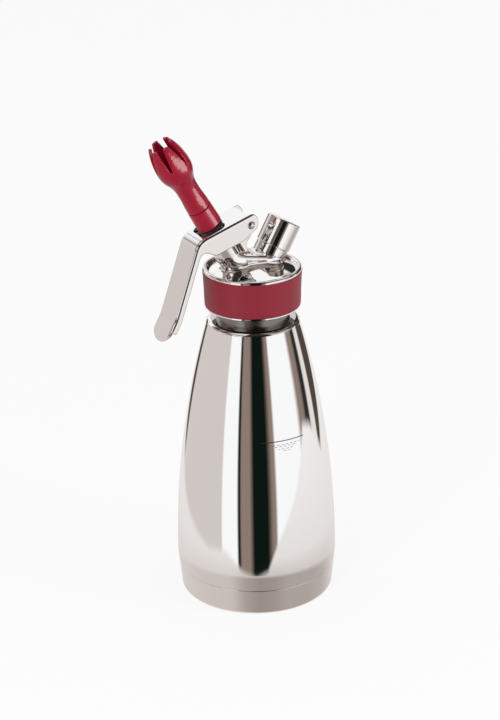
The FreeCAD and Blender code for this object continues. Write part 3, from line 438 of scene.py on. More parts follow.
def metal(name, colour, base, smears, hairlines, stretch=(1, 1, 30), scale=40.0):
    """A metal with its own tone, roughness and polishing marks."""
    finish = bpy.data.materials.new(name)
    finish.use_nodes = True
    tree = finish.node_tree
    shader = tree.nodes["Principled BSDF"]
    shader.inputs["Base Color"].default_value = colour
    shader.inputs["Metallic"].default_value = 1.0
    worn = tree.nodes.new("ShaderNodeGroup")
    worn.node_tree = marks
    for label, value in (
        ("Scale", scale), ("Smears", smears), ("Hairlines", hairlines), ("Base", base),
        ("Stretch", stretch),
    ):
        worn.inputs[label].default_value = value
    wire(tree, (worn, "Roughness", shader, "Roughness"))
    return finish


def drawn_arc(inward, height):
    """Radius of the arc that starts upright and comes inward over that height: the sum of both
    squares over twice the inward part."""
    return (inward**2 + height**2) / (2 * inward)


mirror_steel = metal("mirror_steel", (0.93, 0.925, 0.92, 1), 0.02, smears=0.03, hairlines=0.02)
WALL = 1.0
FOOT = 18.4
BELLY = 26.0
SHOULDER = 187.2
LONG_ARC = drawn_arc(22.15, SHOULDER - BELLY)
wall = outline(
    (51.9, FOOT), (52.55, BELLY), LONG_ARC, (30.4, SHOULDER), 3.4, (27.0, 190.4), (23.75, 190.6),
    (23.75, 189.6), (27.0, 189.4), -2.4, (29.4, SHOULDER), -(LONG_ARC - WALL), (51.55, BELLY),
    (50.9, FOOT),
)


def part_toned(finish, name, tone, rougher, mask_of):
    """A copy of the metal that is toned, and rougher by that much, where its mask is 1. The
    function mask_of(tree, where) makes the mask from the node of the texture coordinates."""
    marked = finish.copy()
    marked.name = name
    tree = marked.node_tree
    shader = tree.nodes["Principled BSDF"]
    worn = next(node for node in tree.nodes if node.type == "GROUP")
    mask = mask_of(tree, tree.nodes.new("ShaderNodeTexCoord"))
    colour = mixed(tree, mask, shader.inputs["Base Color"].default_value, tone)
    rough = maths(tree, "MULTIPLY_ADD", mask, rougher, (worn, "Roughness"))
    wire(tree, (*colour, shader, "Base Color"), (*rough, shader, "Roughness"))
    return marked


FILL_LEVEL = 121.0
FILL_RADIUS = 44.0
FILL_ASIDE = math.tan(math.radians(3.4))
DASH_PITCH = 3.0
ROWS_PER_MM = 0.7


def fill_mark(tree, where):
    """Mask of the etched fill mark: a level line, and under it four rows of short wave dashes,
    each row shorter than the one above. Length s runs round the wall and z up it, in mm; a dash
    shows where the fraction of s / 3 is under 0.6, at the height of a sine wave."""
    parts = tree.nodes.new("ShaderNodeSeparateXYZ")
    wire(tree, (where, "Object", parts, 0))
    # the mark faces -Y, turned by 3.4 degrees, and s is 0 at its middle
    ahead = maths(tree, "MULTIPLY", (parts, "Y"), -1.0)
    sideways = maths(tree, "ADD", (parts, "X"), maths(tree, "MULTIPLY", ahead, FILL_ASIDE))
    s = maths(tree, "MULTIPLY", maths(tree, "ARCTAN2", sideways, ahead), FILL_RADIUS)
    z = maths(tree, "MULTIPLY", (parts, "Z"), 1000.0)
    off_line = maths(tree, "ABSOLUTE", maths(tree, "SUBTRACT", z, FILL_LEVEL))
    line = maths(
        tree, "MULTIPLY", maths(tree, "LESS_THAN", off_line, 0.3),
        maths(tree, "LESS_THAN", maths(tree, "ABSOLUTE", maths(tree, "ADD", s, 1.5)), 15.0),
    )
    phase = maths(tree, "MULTIPLY", s, 2 * math.pi / DASH_PITCH)
    wave = maths(tree, "MULTIPLY", maths(tree, "SINE", phase), 0.2)
    below = maths(tree, "SUBTRACT", maths(tree, "SUBTRACT", FILL_LEVEL - 1.6, z), wave)
    depth = maths(tree, "MULTIPLY", below, ROWS_PER_MM)
    row = maths(tree, "FLOOR", depth)
    off_row = maths(tree, "ABSOLUTE", maths(tree, "SUBTRACT", maths(tree, "FRACT", depth), 0.5))
    # each row is 2.4 mm shorter at both ends, and its dashes stand half a pitch aside
    half = maths(tree, "MULTIPLY_ADD", row, -2.4, 10.0)
    dashes = maths(tree, "DIVIDE", s, DASH_PITCH)
    dash = maths(tree, "FRACT", maths(tree, "MULTIPLY_ADD", row, 0.5, dashes))
    waves = maths(
        tree, "MULTIPLY", maths(tree, "LESS_THAN", off_row, 0.12), maths(tree, "LESS_THAN", dash, 0.6)
    )
    within = maths(tree, "LESS_THAN", maths(tree, "ABSOLUTE", s), half)
    rows = maths(tree, "LESS_THAN", maths(tree, "ABSOLUTE", maths(tree, "SUBTRACT", row, 1.5)), 1.6)
    waves = maths(tree, "MULTIPLY", maths(tree, "MULTIPLY", waves, within), rows)
    # the wall's far side has the same s, so the mark is kept to the side that it faces
    facing = maths(tree, "GREATER_THAN", ahead, 0.0)
    return maths(tree, "MULTIPLY", maths(tree, "MAXIMUM", line, waves), facing)


def evened(piece):
    """Lets the large faces set the shading, so that flats and long curves reflect truly."""
    weighted = piece.modifiers.new("even shading", "WEIGHTED_NORMAL")
    weighted.weight = 80
    weighted.keep_sharp = True


marked_steel = part_toned(
    mirror_steel, "mirror_steel_marked", (0.13, 0.12, 0.11, 1), 0.35, fill_mark
)
evened(made_piece(
    "bottle_wall", closed_up(sheet_of("bottle_wall", lathe_grid(wall, 320))), "bottle",
    marked_steel, "bottle_shell", slot="mirror_steel",
))

# ------------------------------------------------------------------ base cap
# A cup pressed from the same steel, pushed on under the wall, with a fine seam above it. A shallow
# stamped ring stiffens its floor.


def turned_piece(name, profile, body, finish, node, slot, steps=128, origin=(0, 0, 0), lean=0.0):
    """A lathe-turned piece from its closed half outline, which replaces the CAD node."""
    mesh = closed_up(sheet_of(name, lathe_grid(outline(*profile), steps, origin, lean)))
    evened(made_piece(name, mesh, body, finish, node, slot=slot))


turned_piece(
    "base_cup",
    [(0, 0), (28.6, 0), (30.1, 0.6), (31.6, 0), (50.1, 0, 3.0), (51.7, 18.1, 0.35), (50.7, 18.1),
     (49.1, 1.4, 2.0), (0, 1.4)],
    "bottle", mirror_steel, "base_cap", "mirror_steel", steps=320,
)

# ------------------------------------------------------------------ vacuum bottle inside
# A dish closes the wall from below round a sealed button. The inner wall is drawn steel with a
# satin face, and the space between both walls is empty.


def coated(finish, *names):
    """Gives each of the named CAD nodes its finish."""
    for name in names:
        nodes[name].data.materials.clear()
        nodes[name].data.materials.append(finish)


inner_steel = metal("inner_steel", (0.72, 0.71, 0.70, 1), 0.2, smears=0.05, hairlines=0.12)
turned_steel = metal("turned_steel", (0.80, 0.79, 0.78, 1), 0.10, smears=0.03, hairlines=0.08)
coated(inner_steel, "shell_bottom")
coated(turned_steel, "getter_button")
INNER_ARC = drawn_arc(21.7, 150.7)
turned_piece(
    "inner_wall",
    [(0, 17.0), (33.05, 17.0), 14.0, (47.05, 31.0), INNER_ARC, (25.35, 181.7), (21.95, 187.7),
     (21.95, 216.0), (20.95, 216.0), (20.95, 187.7), (24.35, 181.7), -(INNER_ARC - WALL),
     (46.05, 31.0), -13.0, (33.05, 18.0), (0, 18.0)],
    "bottle", inner_steel, "inner_vessel", "inner_steel", steps=160,
)

# ------------------------------------------------------------------ neck ring
# A turned steel ring, welded between the walls, whose thread carries the head. The thread has a
# coarse pitch and rounded crests.


def threaded(
    profile_foot, profile_top, low, high, pitch, depth, crest, steps=160, origin=(0, 0, 0), lean=0.0,
):
    """Grid of a ring with a thread: at height t and angle a, its radius is crest - depth * w^0.7,
    where w is (1 - cos(2 pi t / pitch - a)) / 2, and it runs out to crest - depth at low and high.
    The profiles lead to the thread from the ring's foot and from there to its top."""
    a = np.linspace(0, 2 * math.pi, steps, endpoint=False)[:, None]
    t = np.linspace(low, high, int((high - low) / pitch * 14))[None, :]
    wave = (1 - np.cos(2 * math.pi * (t / pitch - a / (2 * math.pi)))) / 2
    ease = np.clip(np.minimum(t - low, high - t) / (0.6 * pitch), 0, 1)
    r = crest - depth * (1 - (1 - wave**0.7) * ease)
    turns = np.stack([r * np.cos(a), r * np.sin(a), t + 0 * a], -1)
    foot = lathe_grid(np.array(profile_foot, float), steps)
    top = lathe_grid(np.array(profile_top, float), steps)
    return leant(np.concatenate([foot, turns, top], 1), origin, lean)


# this steel's dark tone is painted shade: it stands in for the shade under the collar, and under the
# lever's web where the thrust flange wears it
shade_dark_steel = metal("shade_dark_steel", (0.26, 0.245, 0.23, 1), 0.2, smears=0.03, hairlines=0.08)
THREAD_PITCH = 3.4
neck = threaded(
    [(22.0, 188.2), (23.7, 188.2), (23.7, 199.5)],
    [(24.2, 214.2), (24.2, 215.5), (23.9, 216.0), (22.4, 216.0), (22.0, 215.6)],
    199.8, 213.8, THREAD_PITCH, 1.45, 25.2,
)
evened(made_piece(
    "neck_thread", closed_up(sheet_of("neck_thread", neck), 50), "bottle", shade_dark_steel, "neck_ring",
    slot="turned_steel",
))

# ------------------------------------------------------------------ head casting
# The head is cast in one piece and polished all over: a threaded collar with a rolled rim, a low
# dome, the leaning turret of the valve, a low boss with the charger port, and the lever's lug.
# All of its inner corners are rounded, as a casting's are.

cast_chrome = metal(
    "cast_chrome", (0.91, 0.90, 0.895, 1), 0.03, smears=0.05, hairlines=0.02, scale=60.0
)
# valve and port lean away from each other; places on each are measured along its own axis
LEAN = 30.0
VALVE = (-30.2, 0, 258.6)
TURRET = 8.4
TURRET_TOP = -13.0
TURRET_FOOT = -51.2
WELL = 7.3
WELL_FLOOR = -26.5
STEM_BORE = 5.2
PORT = (19.75, 0, 243.8)
PORT_TUBE = 10.6
PORT_TOP = -14.5
LUG = (19.82, -13.87)
LUG_BARREL = 4.3
LUG_HALF = 9.05
RIB_HALF = 4.5
PIN_BORE = 2.05
DOME_CENTRE = 161.7
DOME_RADIUS = 67.6
BOSS_REAR = (-12.0, 8.5)
BOSS_LENGTH = 22.0
BOSS_FRONT_RADIUS = 10.95
BOSS_TOP = 234.56
BOSS_SLOPE = math.radians(10.0)
ROOF = 220.5
CASTING_RADIUS = 29.4


def filleted(a, b, radius):
    """Union of two distance fields, with a fillet where they meet: the larger of the radius and
    the smaller field, less the length of (radius - a, radius - b), each taken as 0 or more."""
    near = np.hypot(np.maximum(radius - a, 0), np.maximum(radius - b, 0))
    return np.maximum(radius, np.minimum(a, b)) - near


def edged(a, b, radius):
    """Overlap of two distance fields, with their common edge rounded: the larger field, but not
    over -radius, plus the length of (radius + a, radius + b), each taken as 0 or more."""
    past = np.hypot(np.maximum(radius + a, 0), np.maximum(radius + b, 0))
    return np.minimum(-radius, np.maximum(a, b)) + past


def slab(u, t, corners):
    """Distance field of a closed outline in the plane of u and t: the distance to the nearest
    side, and negative where a line towards +u crosses an odd number of sides."""
    corners = [tuple(corner) for corner in corners]
    shape = np.broadcast(u, t).shape
    nearest = np.full(shape, np.inf)
    inside = np.zeros(shape, bool)
    for (u0, t0), (u1, t1) in zip(corners, corners[1:] + corners[:1]):
        du, dt = u1 - u0, t1 - t0
        share = np.clip(((u - u0) * du + (t - t0) * dt) / (du * du + dt * dt), 0, 1)
        nearest = np.minimum(nearest, np.hypot(u - u0 - share * du, t - t0 - share * dt))
        inside ^= ((t0 > t) != (t1 > t)) & (u < u0 + (t - t0) * du / (dt or 1.0))
    return np.where(inside, -nearest, nearest)


def leaning(x, z, origin, lean):
    """Distance across and height along an axis through origin that leans towards +X."""
    c, s = math.cos(math.radians(lean)), math.sin(math.radians(lean))
    return (x - origin[0]) * c - (z - origin[2]) * s, (x - origin[0]) * s + (z - origin[2]) * c


def casting(x, y, z):
    """Distance field of the casting above its collar, in millimetres. Dome: a sphere. Boss: two
    circles in plan with their tangents, under a sloping plane. Turret and port: cylinders about
    leaning axes. Lug: an outline in the turret's frame that ends in a barrel across it."""
    dome = np.sqrt(x * x + y * y + (z - DOME_CENTRE) ** 2) - DOME_RADIUS
    rear, rear_radius = BOSS_REAR
    taper = math.asin((BOSS_FRONT_RADIUS - rear_radius) / BOSS_LENGTH)
    along, across = x - rear, np.abs(y)
    flank = along * -math.sin(taper) + across * math.cos(taper) - rear_radius
    place_on = along * math.cos(taper) + across * math.sin(taper)
    plan = np.where(place_on < 0, np.hypot(along, y) - rear_radius, flank)
    front = np.hypot(along - BOSS_LENGTH, y) - BOSS_FRONT_RADIUS
    plan = np.where(place_on > BOSS_LENGTH * math.cos(taper), front, plan)
    top = (z - BOSS_TOP) * math.cos(BOSS_SLOPE) + x * math.sin(BOSS_SLOPE)
    solid = filleted(dome, edged(plan, top, 2.5), 1.4)

    u, t = leaning(x, z, VALVE, -LEAN)
    radial = np.hypot(u, y)
    turret = np.maximum(np.maximum(radial - TURRET, t - TURRET_TOP), TURRET_FOOT - t)
    solid = filleted(solid, turret, 2.2)
    v, w = leaning(x, z, PORT, LEAN)
    tube = np.maximum(np.hypot(v, y) - PORT_TUBE, w - PORT_TOP)
    solid = filleted(solid, tube, 2.0)

    sweep = [(17.4 - 6 * math.sin(a), -30.3 + 6 * math.cos(a)) for a in np.radians([90, 60, 30, 0])]
    lug_side = [(15.8, -13.4), (6.5, -18.4), (3.0, -46.0), (11.4, -46.0), *sweep, (22.2, -16.9)]
    from_pin = np.hypot(u - LUG[0], t - LUG[1])
    barrel = edged(from_pin - LUG_BARREL, across - LUG_HALF, 0.4)
    lug = filleted(edged(slab(u, t, lug_side), across - RIB_HALF, 0.8), barrel, 2.0)
    solid = filleted(solid, lug, 3.0)

    # the well of the spring narrows to the stem's bore, and the pin's bore crosses the lug
    well = np.where(t > WELL_FLOOR, radial - WELL, radial - STEM_BORE)
    solid = np.maximum(np.maximum(solid, -well), PIN_BORE - from_pin)
    return np.maximum(np.maximum(solid, ROOF - z), np.hypot(x, y) - CASTING_RADIUS)


def netted(name, field, low, high, cell, origin=(0, 0, 0), lean=0.0):
    """Closed mesh of the surface field(x, y, z) = 0: a point in each cell that the surface
    crosses, moved onto it along the field's slope, and a face across each grid edge that it
    crosses. The slope is also the shading normal. The mesh is then leant and moved."""
    low = np.array(low, float)
    axes = [np.arange(a, b, cell) for a, b in zip(low, high)]
    solid = field(*np.meshgrid(*axes, indexing="ij", sparse=True)) < 0
    size = np.array(solid.shape) - 1
    corners = np.zeros(size, int)
    for i, j, k in np.ndindex(2, 2, 2):
        corners += solid[i:size[0] + i, j:size[1] + j, k:size[2] + k]
    crossed = (corners > 0) & (corners < 8)
    number = np.zeros(size, int)
    number[crossed] = np.arange(crossed.sum())
    points = low + (np.argwhere(crossed) + 0.5) * cell
    quads = []
    for axis in range(3):
        change = np.argwhere(np.diff(solid.astype(np.int8), axis=axis))
        p, q = np.roll(np.eye(3, dtype=int), 1, 0)[[(axis + 2) % 3, axis]]
        start = change[((change - p - q) >= 0).all(1) & (change < size).all(1)]
        ring = np.stack([number[tuple((start - shift).T)] for shift in (p + q, q, 0 * p, p)], 1)
        filled = solid[tuple(start.T)]
        quads.append(np.where(filled[:, None], ring, ring[:, ::-1]))
    quads = np.concatenate(quads)

    def slope(spots, h=0.02):
        """The field's change from h before each spot to h after it, by 2 h, along each axis."""
        steps = np.eye(3) * h
        return np.stack([field(*(spots + s).T) - field(*(spots - s).T) for s in steps], 1) / (2 * h)

    def evened_out(spots):
        """Each point goes 0.6 of the way to the mean of its neighbours on the net."""
        mean = np.zeros_like(spots)
        for side in (1, 3):
            other = np.roll(quads, side, 1).ravel()
            for part in range(3):
                mean[:, part] += np.bincount(quads.ravel(), spots[other, part], len(spots))
        mean /= 2 * np.bincount(quads.ravel(), minlength=len(spots))[:, None]
        return spots + 0.6 * (mean - spots)

    # nine moves onto the surface, with the net evened out before three of them
    for turn in range(9):
        if turn in (2, 4, 6):
            points = evened_out(points)
        steep = slope(points)
        step = field(*points.T) / np.maximum((steep * steep).sum(1), 0.2)
        points -= np.clip(step, -cell, cell)[:, None] * steep
    steep = slope(points)
    steep /= np.linalg.norm(steep, axis=1)[:, None]
    mesh = quad_mesh(name, leant(points, origin, lean), quads)
    mesh.normals_split_custom_set_from_vertices(leant(steep, (0, 0, 0), lean))
    return mesh


def rough_and_shaded(tree, where):
    """Mask of the collar within 27 mm of the axis, or under its foot: there it is rougher, as
    unpolished, and its colour is darkened as painted shade of the bore and underside.
    """
    parts = tree.nodes.new("ShaderNodeSeparateXYZ")
    flat = tree.nodes.new("ShaderNodeVectorMath")
    flat.operation = "MULTIPLY"
    flat.inputs[1].default_value = (1, 1, 0)
    size = tree.nodes.new("ShaderNodeVectorMath")
    size.operation = "LENGTH"
    wire(tree, (where, "Object", parts, 0), (where, "Object", flat, 0), (flat, 0, size, 0))
    inside = maths(tree, "LESS_THAN", (size, "Value"), 0.027)
    under = maths(tree, "LESS_THAN", (parts, "Z"), 0.19882)
    return maths(tree, "MAXIMUM", inside, under)


made_piece(
    "head_casting", netted("head_casting", casting, (-30.3, -30.3, 219.8), (30.3, 30.3, 263.0), 0.5),
    "head", cast_chrome, "head_body", slot="cast_chrome",
)
# inside and under the collar the chrome is rougher, and its colour is darkened near black as painted
# shade
satin_and_shaded_inside = part_toned(
    cast_chrome, "cast_chrome_inside_shaded", (0.10, 0.092, 0.085, 1), 0.3, rough_and_shaded
)
collar = threaded(
    [(25.5, 198.8), (25.5, 200.6)],
    outline((25.5, 215.0), (25.5, 219.0), (0, 219.0), (0, 221.2), (28.5, 221.2), (28.5, 223.0),
            (28.9, 225.3, 1.2), (31.7, 225.3, 1.3), (31.7, 223.3), (30.1, 223.3), (30.1, 200.1),
            (30.8, 200.1), (30.8, 199.2), (30.4, 198.8)),
    200.8, 214.6, THREAD_PITCH, 1.4, 26.9, steps=256,
)
evened(made_piece(
    "head_collar", closed_up(sheet_of("head_collar", collar)), "head", satin_and_shaded_inside, "head_body",
    slot="cast_chrome",
))
turned_piece(
    "valve_barrel",
    [(4.65, -45.0), (4.65, -26.0), (7.0, -26.0), (7.0, -11.6), (8.02, -11.6), (8.42, -12.0),
     (8.42, -27.0), (7.0, -28.0), (7.0, -40.0), (TURRET, -41.0), (TURRET, TURRET_FOOT),
     (6.4, TURRET_FOOT), (6.4, -45.0)],
    "head", cast_chrome, "head_body", "cast_chrome", origin=VALVE, lean=-LEAN,
)
port_thread = threaded(
    [(10.22, -8.9), (8.6, -8.9), (8.6, -7.6)],
    [(8.6, 2.8), (8.6, 4.1), (8.2, 4.5), (6.4, 4.5), (6.4, -13.5), (1.6, -13.5), (1.6, -15.0),
     (10.62, -15.0), (10.62, -9.3)],
    -7.4, 2.6, 2.0, 0.9, 8.6, steps=144, origin=PORT, lean=LEAN,
)
evened(made_piece(
    "port_thread", closed_up(sheet_of("port_thread", port_thread)), "head", cast_chrome, "head_body",
    slot="cast_chrome",
))

# ------------------------------------------------------------------ grip band and gasket
# A sleeve of red silicone, stretched over the collar and slightly waisted, gives a dry grip. The
# gasket under the head's roof is grey silicone.


def rubber(name, colour, roughness, bump=0.25):
    """Silicone rubber: one colour that varies a little, a soft sheen and a fine mould grain."""
    finish = bpy.data.materials.new(name)
    finish.use_nodes = True
    tree = finish.node_tree
    shader = tree.nodes["Principled BSDF"]
    where = tree.nodes.new("ShaderNodeTexCoord")
    cloud = tree.nodes.new("ShaderNodeTexNoise")
    cloud.inputs["Scale"].default_value = 45.0
    cloud.inputs["Detail"].default_value = 4.0
    grain = tree.nodes.new("ShaderNodeTexNoise")
    grain.inputs["Scale"].default_value = 2600.0
    tone = tree.nodes.new("ShaderNodeHueSaturation")
    tone.inputs["Color"].default_value = colour
    relief = tree.nodes.new("ShaderNodeBump")
    relief.inputs["Strength"].default_value = bump
    relief.inputs["Distance"].default_value = 0.00006
    value = maths(tree, "MULTIPLY_ADD", (cloud, 0), 0.1, 0.95)
    rough = maths(tree, "MULTIPLY_ADD", (cloud, 0), 0.12, roughness - 0.06)
    wire(
        tree,
        (where, "Object", cloud, "Vector"), (where, "Object", grain, "Vector"),
        (*value, tone, "Value"), (tone, 0, shader, "Base Color"), (*rough, shader, "Roughness"),
        (grain, 0, relief, "Height"), (relief, 0, shader, "Normal"),
    )
    return finish


band_silicone = rubber("band_silicone", (0.27, 0.008, 0.027, 1), roughness=0.45)
grey_silicone = rubber("grey_silicone", (0.42, 0.42, 0.41, 1), roughness=0.55)
turned_piece(
    "grip_sleeve",
    [(30.15, 200.15), (30.9, 200.15, 0.7), (31.1, 204.65), -260.0, (31.9, 222.75), (31.5, 223.25),
     (30.15, 223.25)],
    "head", band_silicone, "grip_band", "band_silicone", steps=192,
)
turned_piece(
    "mouth_gasket",
    [(21.0, 216.2, 0.5), (25.2, 216.2, 0.5), (25.2, 218.8, 0.5), (21.0, 218.8, 0.5)],
    "gasket", grey_silicone, "head_gasket", "grey_silicone",
)

# ------------------------------------------------------------------ dispensing valve
# A hollow steel stem slides in the turret, closed by a disc and sprung upwards. A steel flange
# under the lever's web pushes it down, and a black ring on its hub seats the nozzle.


def merged_copy(name, node, body, finish, slot):
    """A copy of a CAD node with its loose triangles joined, smooth but for its sharp edges."""
    mesh = nodes[node].data.copy()
    mesh.name = name
    shape = bmesh.new()
    shape.from_mesh(mesh)
    bmesh.ops.remove_doubles(shape, verts=shape.verts, dist=2e-6)
    shape.to_mesh(mesh)
    shape.free()
    evened(made_piece(name, creased(mesh, 30.0), body, finish, node, slot=slot))


merged_copy("valve_piston", "valve_stem", "valve", turned_steel, "turned_steel")
coated(grey_silicone, "valve_seal", "stem_o_ring")
black_plastic = rubber("black_plastic", (0.012, 0.012, 0.013, 1), roughness=0.35, bump=0.1)
# the flange wears the steel darkened as painted shade
turned_piece(
    "thrust_flange",
    [(4.05, -8.35), (9.0, -8.35, 0.5), (9.0, -6.4, 0.5), (4.7, -6.4), (4.7, -3.35), (4.05, -3.35)],
    "valve", shade_dark_steel, "thrust_ring", "turned_steel", origin=VALVE, lean=-LEAN,
)
turned_piece(
    "nozzle_seat",
    [(4.05, -3.3), (7.9, -3.3, 0.5), (7.9, -0.7, 0.5), (4.05, -0.7)],
    "valve", black_plastic, "stop_ring", "black_plastic", origin=VALVE, lean=-LEAN,
)


def coiled(radius, wire_radius, low, high, turns, origin, lean):
    """Closed tube round a helix: at share s of the way its centre stands at the angle
    2 pi turns s and at a height that climbs slowly in the first and last 0.7 turn, so that
    both end coils lie nearly flat. The wire's radius is 0 at the two very ends."""
    share = np.linspace(0, 1, int(turns * 40) + 1)
    share = np.concatenate([[0.0], share, [1.0]])[:, None]
    thick = np.full(share.shape, wire_radius)
    thick[[0, -1]] = 0.0
    a = 2 * math.pi * turns * share
    b = np.linspace(0, 2 * math.pi, 14, endpoint=False)[None, :]
    climb = np.interp(share * turns, [0, 0.7, turns - 0.7, turns], [0, 0.045, 0.955, 1])
    r = radius + thick * np.cos(b)
    t = low + (high - low) * climb + thick * np.sin(b)
    return leant(np.stack([r * np.cos(a), r * np.sin(a), t], -1), origin, lean)


# the coil stands on the floor of its well
spring_steel = metal("spring_steel", (0.62, 0.61, 0.60, 1), 0.18, smears=0.04, hairlines=0.1)
coil = coiled(5.9, 0.5, -25.45, -8.95, 5.0, VALVE, -LEAN)
spring = bpy.data.objects.new(
    "valve_spring", closed_up(sheet_of("valve_spring", coil, ring=False), 60)
)
scene.collection.objects.link(spring)
spring.data.materials.append(spring_steel)
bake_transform(spring)
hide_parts("return_spring")

# ------------------------------------------------------------------ nozzle
# Glossy red mouldings: an adapter that screws on the stem, and on its spigot a decorating tip
# whose tulip cup is slit into six pointed petals.


def moulded(name, colour, roughness, coat):
    """Glossy moulded plastic: even colour, faint flow clouds and a slightly wavy skin."""
    finish = bpy.data.materials.new(name)
    finish.use_nodes = True
    tree = finish.node_tree
    shader = tree.nodes["Principled BSDF"]
    shader.inputs["Coat Weight"].default_value = coat
    shader.inputs["Coat Roughness"].default_value = 0.16
    shader.inputs["Specular IOR Level"].default_value = 0.15
    where = tree.nodes.new("ShaderNodeTexCoord")
    cloud = tree.nodes.new("ShaderNodeTexNoise")
    cloud.inputs["Scale"].default_value = 90.0
    cloud.inputs["Detail"].default_value = 2.0
    tone = tree.nodes.new("ShaderNodeHueSaturation")
    tone.inputs["Color"].default_value = colour
    value = maths(tree, "MULTIPLY_ADD", (cloud, 0), 0.12, 0.94)
    rough = maths(tree, "MULTIPLY_ADD", (cloud, 0), 0.04, roughness - 0.02)
    relief = tree.nodes.new("ShaderNodeBump")
    relief.inputs["Strength"].default_value = 0.02
    relief.inputs["Distance"].default_value = 0.00002
    wire(
        tree,
        (where, "Object", cloud, "Vector"), (*value, tone, "Value"), (tone, 0, shader, "Base Color"),
        (*rough, shader, "Roughness"), (cloud, 0, relief, "Height"), (relief, 0, shader, "Normal"),
    )
    return finish


red_plastic = moulded("red_plastic", (0.33, 0.006, 0.027, 1), roughness=0.2, coat=0.35)
turned_piece(
    "nozzle_socket",
    [(4.3, -0.4), (8.3, -0.4, 1.4), (7.9, 14.0, 0.4), (5.6, 14.0), (5.6, 22.0, 0.6), (2.6, 22.0),
     (2.6, 10.5), (4.3, 10.5)],
    "adapter", red_plastic, "nozzle_adapter", "red_plastic", origin=VALVE, lean=-LEAN,
)
TIP_FOOT = 14.3
TIP_END = TIP_FOOT + 51.1
SLIT_FOOT = TIP_END - 15.4
SLIT_HALF = 0.6
SLIT_SPREAD = 1.6 / 16.4
tip_wall = outline(
    (5.9, TIP_FOOT), (7.75, TIP_FOOT, 0.5), (7.75, TIP_FOOT + 3.6, 12.0), (7.2, TIP_FOOT + 10.6, 20.0),
    (7.2, TIP_FOOT + 15.6), -22.0, (9.35, TIP_END - 26.1), 17.0, (11.3, TIP_END - 17.9), 48.0,
    (7.9, TIP_END), (5.8, TIP_END), -45.9, (9.2, TIP_END - 17.9), -14.9, (7.25, TIP_END - 26.1), 24.1,
    (4.6, TIP_FOOT + 17.7), (4.6, 22.8), (5.9, 22.8),
)


def tulip(x, y, t):
    """Distance field of the decorating tip about its own axis, in millimetres: a turned wall,
    less six slits. A slit's sides lean apart upwards, and the angle about the axis is folded
    into one sixth of a turn, so that one slit stands for all six."""
    solid = slab(np.hypot(x, y), t, tip_wall)
    turn = np.arctan2(y, x)
    turn = turn - np.round(turn / (math.pi / 3)) * (math.pi / 3)
    aside = np.abs(np.hypot(x, y) * np.sin(turn))
    beside = (aside - SLIT_HALF - (t - SLIT_FOOT) * SLIT_SPREAD) / math.hypot(1, SLIT_SPREAD)
    slit = edged(beside, SLIT_FOOT - t, 0.5)
    return edged(solid, -slit, 0.35)


made_piece(
    "tulip", netted("tulip", tulip, (-11.9, -11.9, 13.6), (11.9, 11.9, 66.2), 0.45, VALVE, -LEAN),
    "tip", red_plastic, "tulip_tip", slot="red_plastic",
)

# a low soft box for the plastic alone: it gives the nozzle its long highlight on the right
round_to = math.radians(heading + 61)
box_spot = (math.cos(round_to) - 0.04, math.sin(round_to), 0.24)
gloss = soft_box("nozzle_box", box_spot, (-0.05, 0, 0.29), 1.1, 0.42, 13.0)
gloss.visible_diffuse = False
glossy_red = bpy.data.collections.new("glossy_red")
glossy_red.objects.link(bpy.data.objects["nozzle_socket"])
glossy_red.objects.link(bpy.data.objects["tulip"])
gloss.light_linking.receiver_collection = glossy_red

# ------------------------------------------------------------------ lever
# One pressing of polished steel: a channel with a slotted web over the valve, a round bend, and a
# handle that flares to a tongue. A rivet with two low domed heads hinges it on the lug.

lever_steel = metal(
    "lever_steel", (0.90, 0.89, 0.885, 1), 0.05, smears=0.05, hairlines=0.04, stretch=(1, 20, 1)
)
# places are from the pin: the web lies level at CREST, from WEB_START to the bend at REACH
WEB_START = 1.0
SHEET = 1.6
HALF = 11.0
CREST = 6.85
REACH = 37.2
HANDLE = 52.0
HANDLE_DROP = 53.25
TONGUE_DROP = 43.65
TONGUE = 18.0
TONGUE_STRAIGHT = 6.7
TONGUE_OVAL = 1.12
FLANGE = 4.6
EDGE = 0.6
SLOT_MIDDLE = -23.35
SLOT_HALF_LENGTH = 8.55
SLOT_HALF_WIDTH = 8.8
SLOT_CORNER = 5.0


def down(start, degrees, distance, depth=0.0):
    """The point that far from start down a slope of so many degrees, in from its outer face."""
    c, s = math.cos(math.radians(degrees)), math.sin(math.radians(degrees))
    return start[0] - distance * c + depth * s, start[1] - distance * s - depth * c


def inset(depth):
    """How much later the flare starts at that depth under the outer face: the depth times the
    tangent of half the angle between both slopes."""
    return depth * math.tan(math.radians((HANDLE_DROP - TONGUE_DROP) / 2))


bend = (-REACH, CREST)
flare = down(bend, HANDLE_DROP, HANDLE)
outer_face = outline(
    (40.0, CREST), (*bend, 12.0), (*flare, 30.0), down(flare, TONGUE_DROP, 30),
    down(flare, TONGUE_DROP, 30, 60), (40.0, -90.0),
)
side_view = outline(
    (WEB_START, CREST + 1), (-REACH, CREST + 1), down(bend, HANDLE_DROP, 0, -1),
    down(flare, (HANDLE_DROP + TONGUE_DROP) / 2, 0, -1), down(flare, TONGUE_DROP, TONGUE, -1),
    down(flare, TONGUE_DROP, TONGUE, SHEET), down(flare, TONGUE_DROP, 8.0, SHEET + 0.4),
    down(flare, TONGUE_DROP, 8.0, FLANGE),
    (*down(bend, HANDLE_DROP, HANDLE + inset(FLANGE), FLANGE), 22.0),
    (*down(bend, HANDLE_DROP, 5.5, FLANGE), 4.2), (-28.6, CREST - 14.35, 2.6),
    (-8.24, CREST - 14.35, 6.0), (1.68, CREST - 11.35), 5.8, (5.8, CREST - 6.0), 6.7,
)


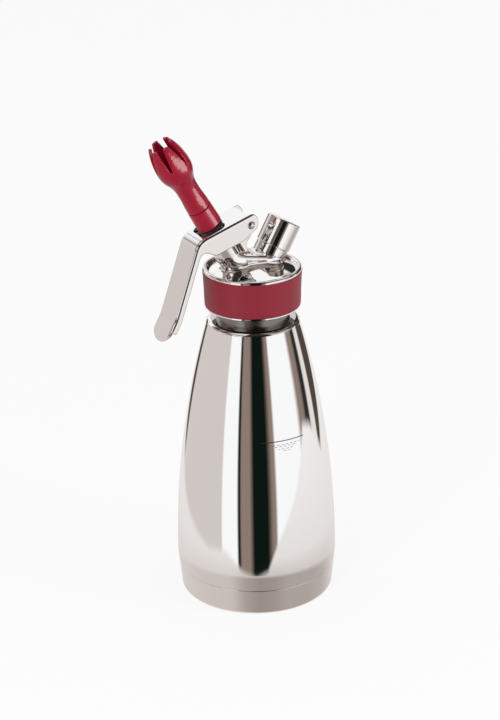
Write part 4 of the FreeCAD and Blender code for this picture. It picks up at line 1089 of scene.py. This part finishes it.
def pressing(x, y, z):
    """Distance field of the lever about its pin, in millimetres. The channel is what lies within
    a sheet's thickness of the outer face or of the sides; the side view ends its flanges, an
    oval its tongue, and a rounded slot passes through its web."""
    back = slab(x, z, outer_face)
    across = np.abs(y)
    hollow = edged(np.minimum(back + SHEET, WEB_START - x), across - (HALF - SHEET), EDGE)
    channel = np.maximum(edged(back, across - HALF, 2.1), -hollow)
    ended = edged(channel, slab(x, z, side_view), EDGE)
    c, s = math.cos(math.radians(TONGUE_DROP)), math.sin(math.radians(TONGUE_DROP))
    past = np.maximum((flare[0] - x) * c + (flare[1] - z) * s - TONGUE_STRAIGHT, 0.0)
    tongue = np.hypot(past * TONGUE_OVAL, y) - HALF
    ended = edged(ended, np.where(past > 0, tongue, -HALF), EDGE)
    long = np.abs(x - SLOT_MIDDLE) - (SLOT_HALF_LENGTH - SLOT_CORNER)
    wide = across - (SLOT_HALF_WIDTH - SLOT_CORNER)
    corner = np.hypot(np.maximum(long, 0), np.maximum(wide, 0)) - SLOT_CORNER
    slot = corner + np.minimum(np.maximum(long, wide), 0)
    return edged(ended, -np.maximum(slot, 2.0 - z), 0.5)


pressed = netted(
    "lever_pressing", pressing, (-81.5, -11.8, -47.5), (7.5, 11.9, 8.0), 0.5, (-6.1, 0, 256.5), -17.25
)
made_piece("lever_pressing", pressed, "lever_arm", lever_steel, "lever", slot="lever_steel")
merged_copy("lever_rivet", "lever_pin", "head", turned_steel, "turned_steel")

# ------------------------------------------------------------------ charger port
# Inside the port a brass seat holds the hollow needle that pierces the gas cartridge, over a
# silicone flap. A plain polished cap screws over its thread, with a soft washer inside.

port_brass = metal("port_brass", (0.78, 0.55, 0.24, 1), 0.14, smears=0.05, hairlines=0.08)
merged_copy("cartridge_seat", "port_insert", "head", port_brass, "port_brass")
coated(grey_silicone, "check_valve", "port_o_ring", "cap_washer")
coated(turned_steel, "piercing_pin")
turned_piece(
    "charger_cap",
    [(8.9, -8.6), (11.2, -8.6, 0.4), (11.2, 9.2, 1.1), (0, 9.2), (0, 7.2), (8.9, 7.2)],
    "cap", cast_chrome, "port_cap", "cast_chrome", steps=192, origin=PORT, lean=LEAN,
)
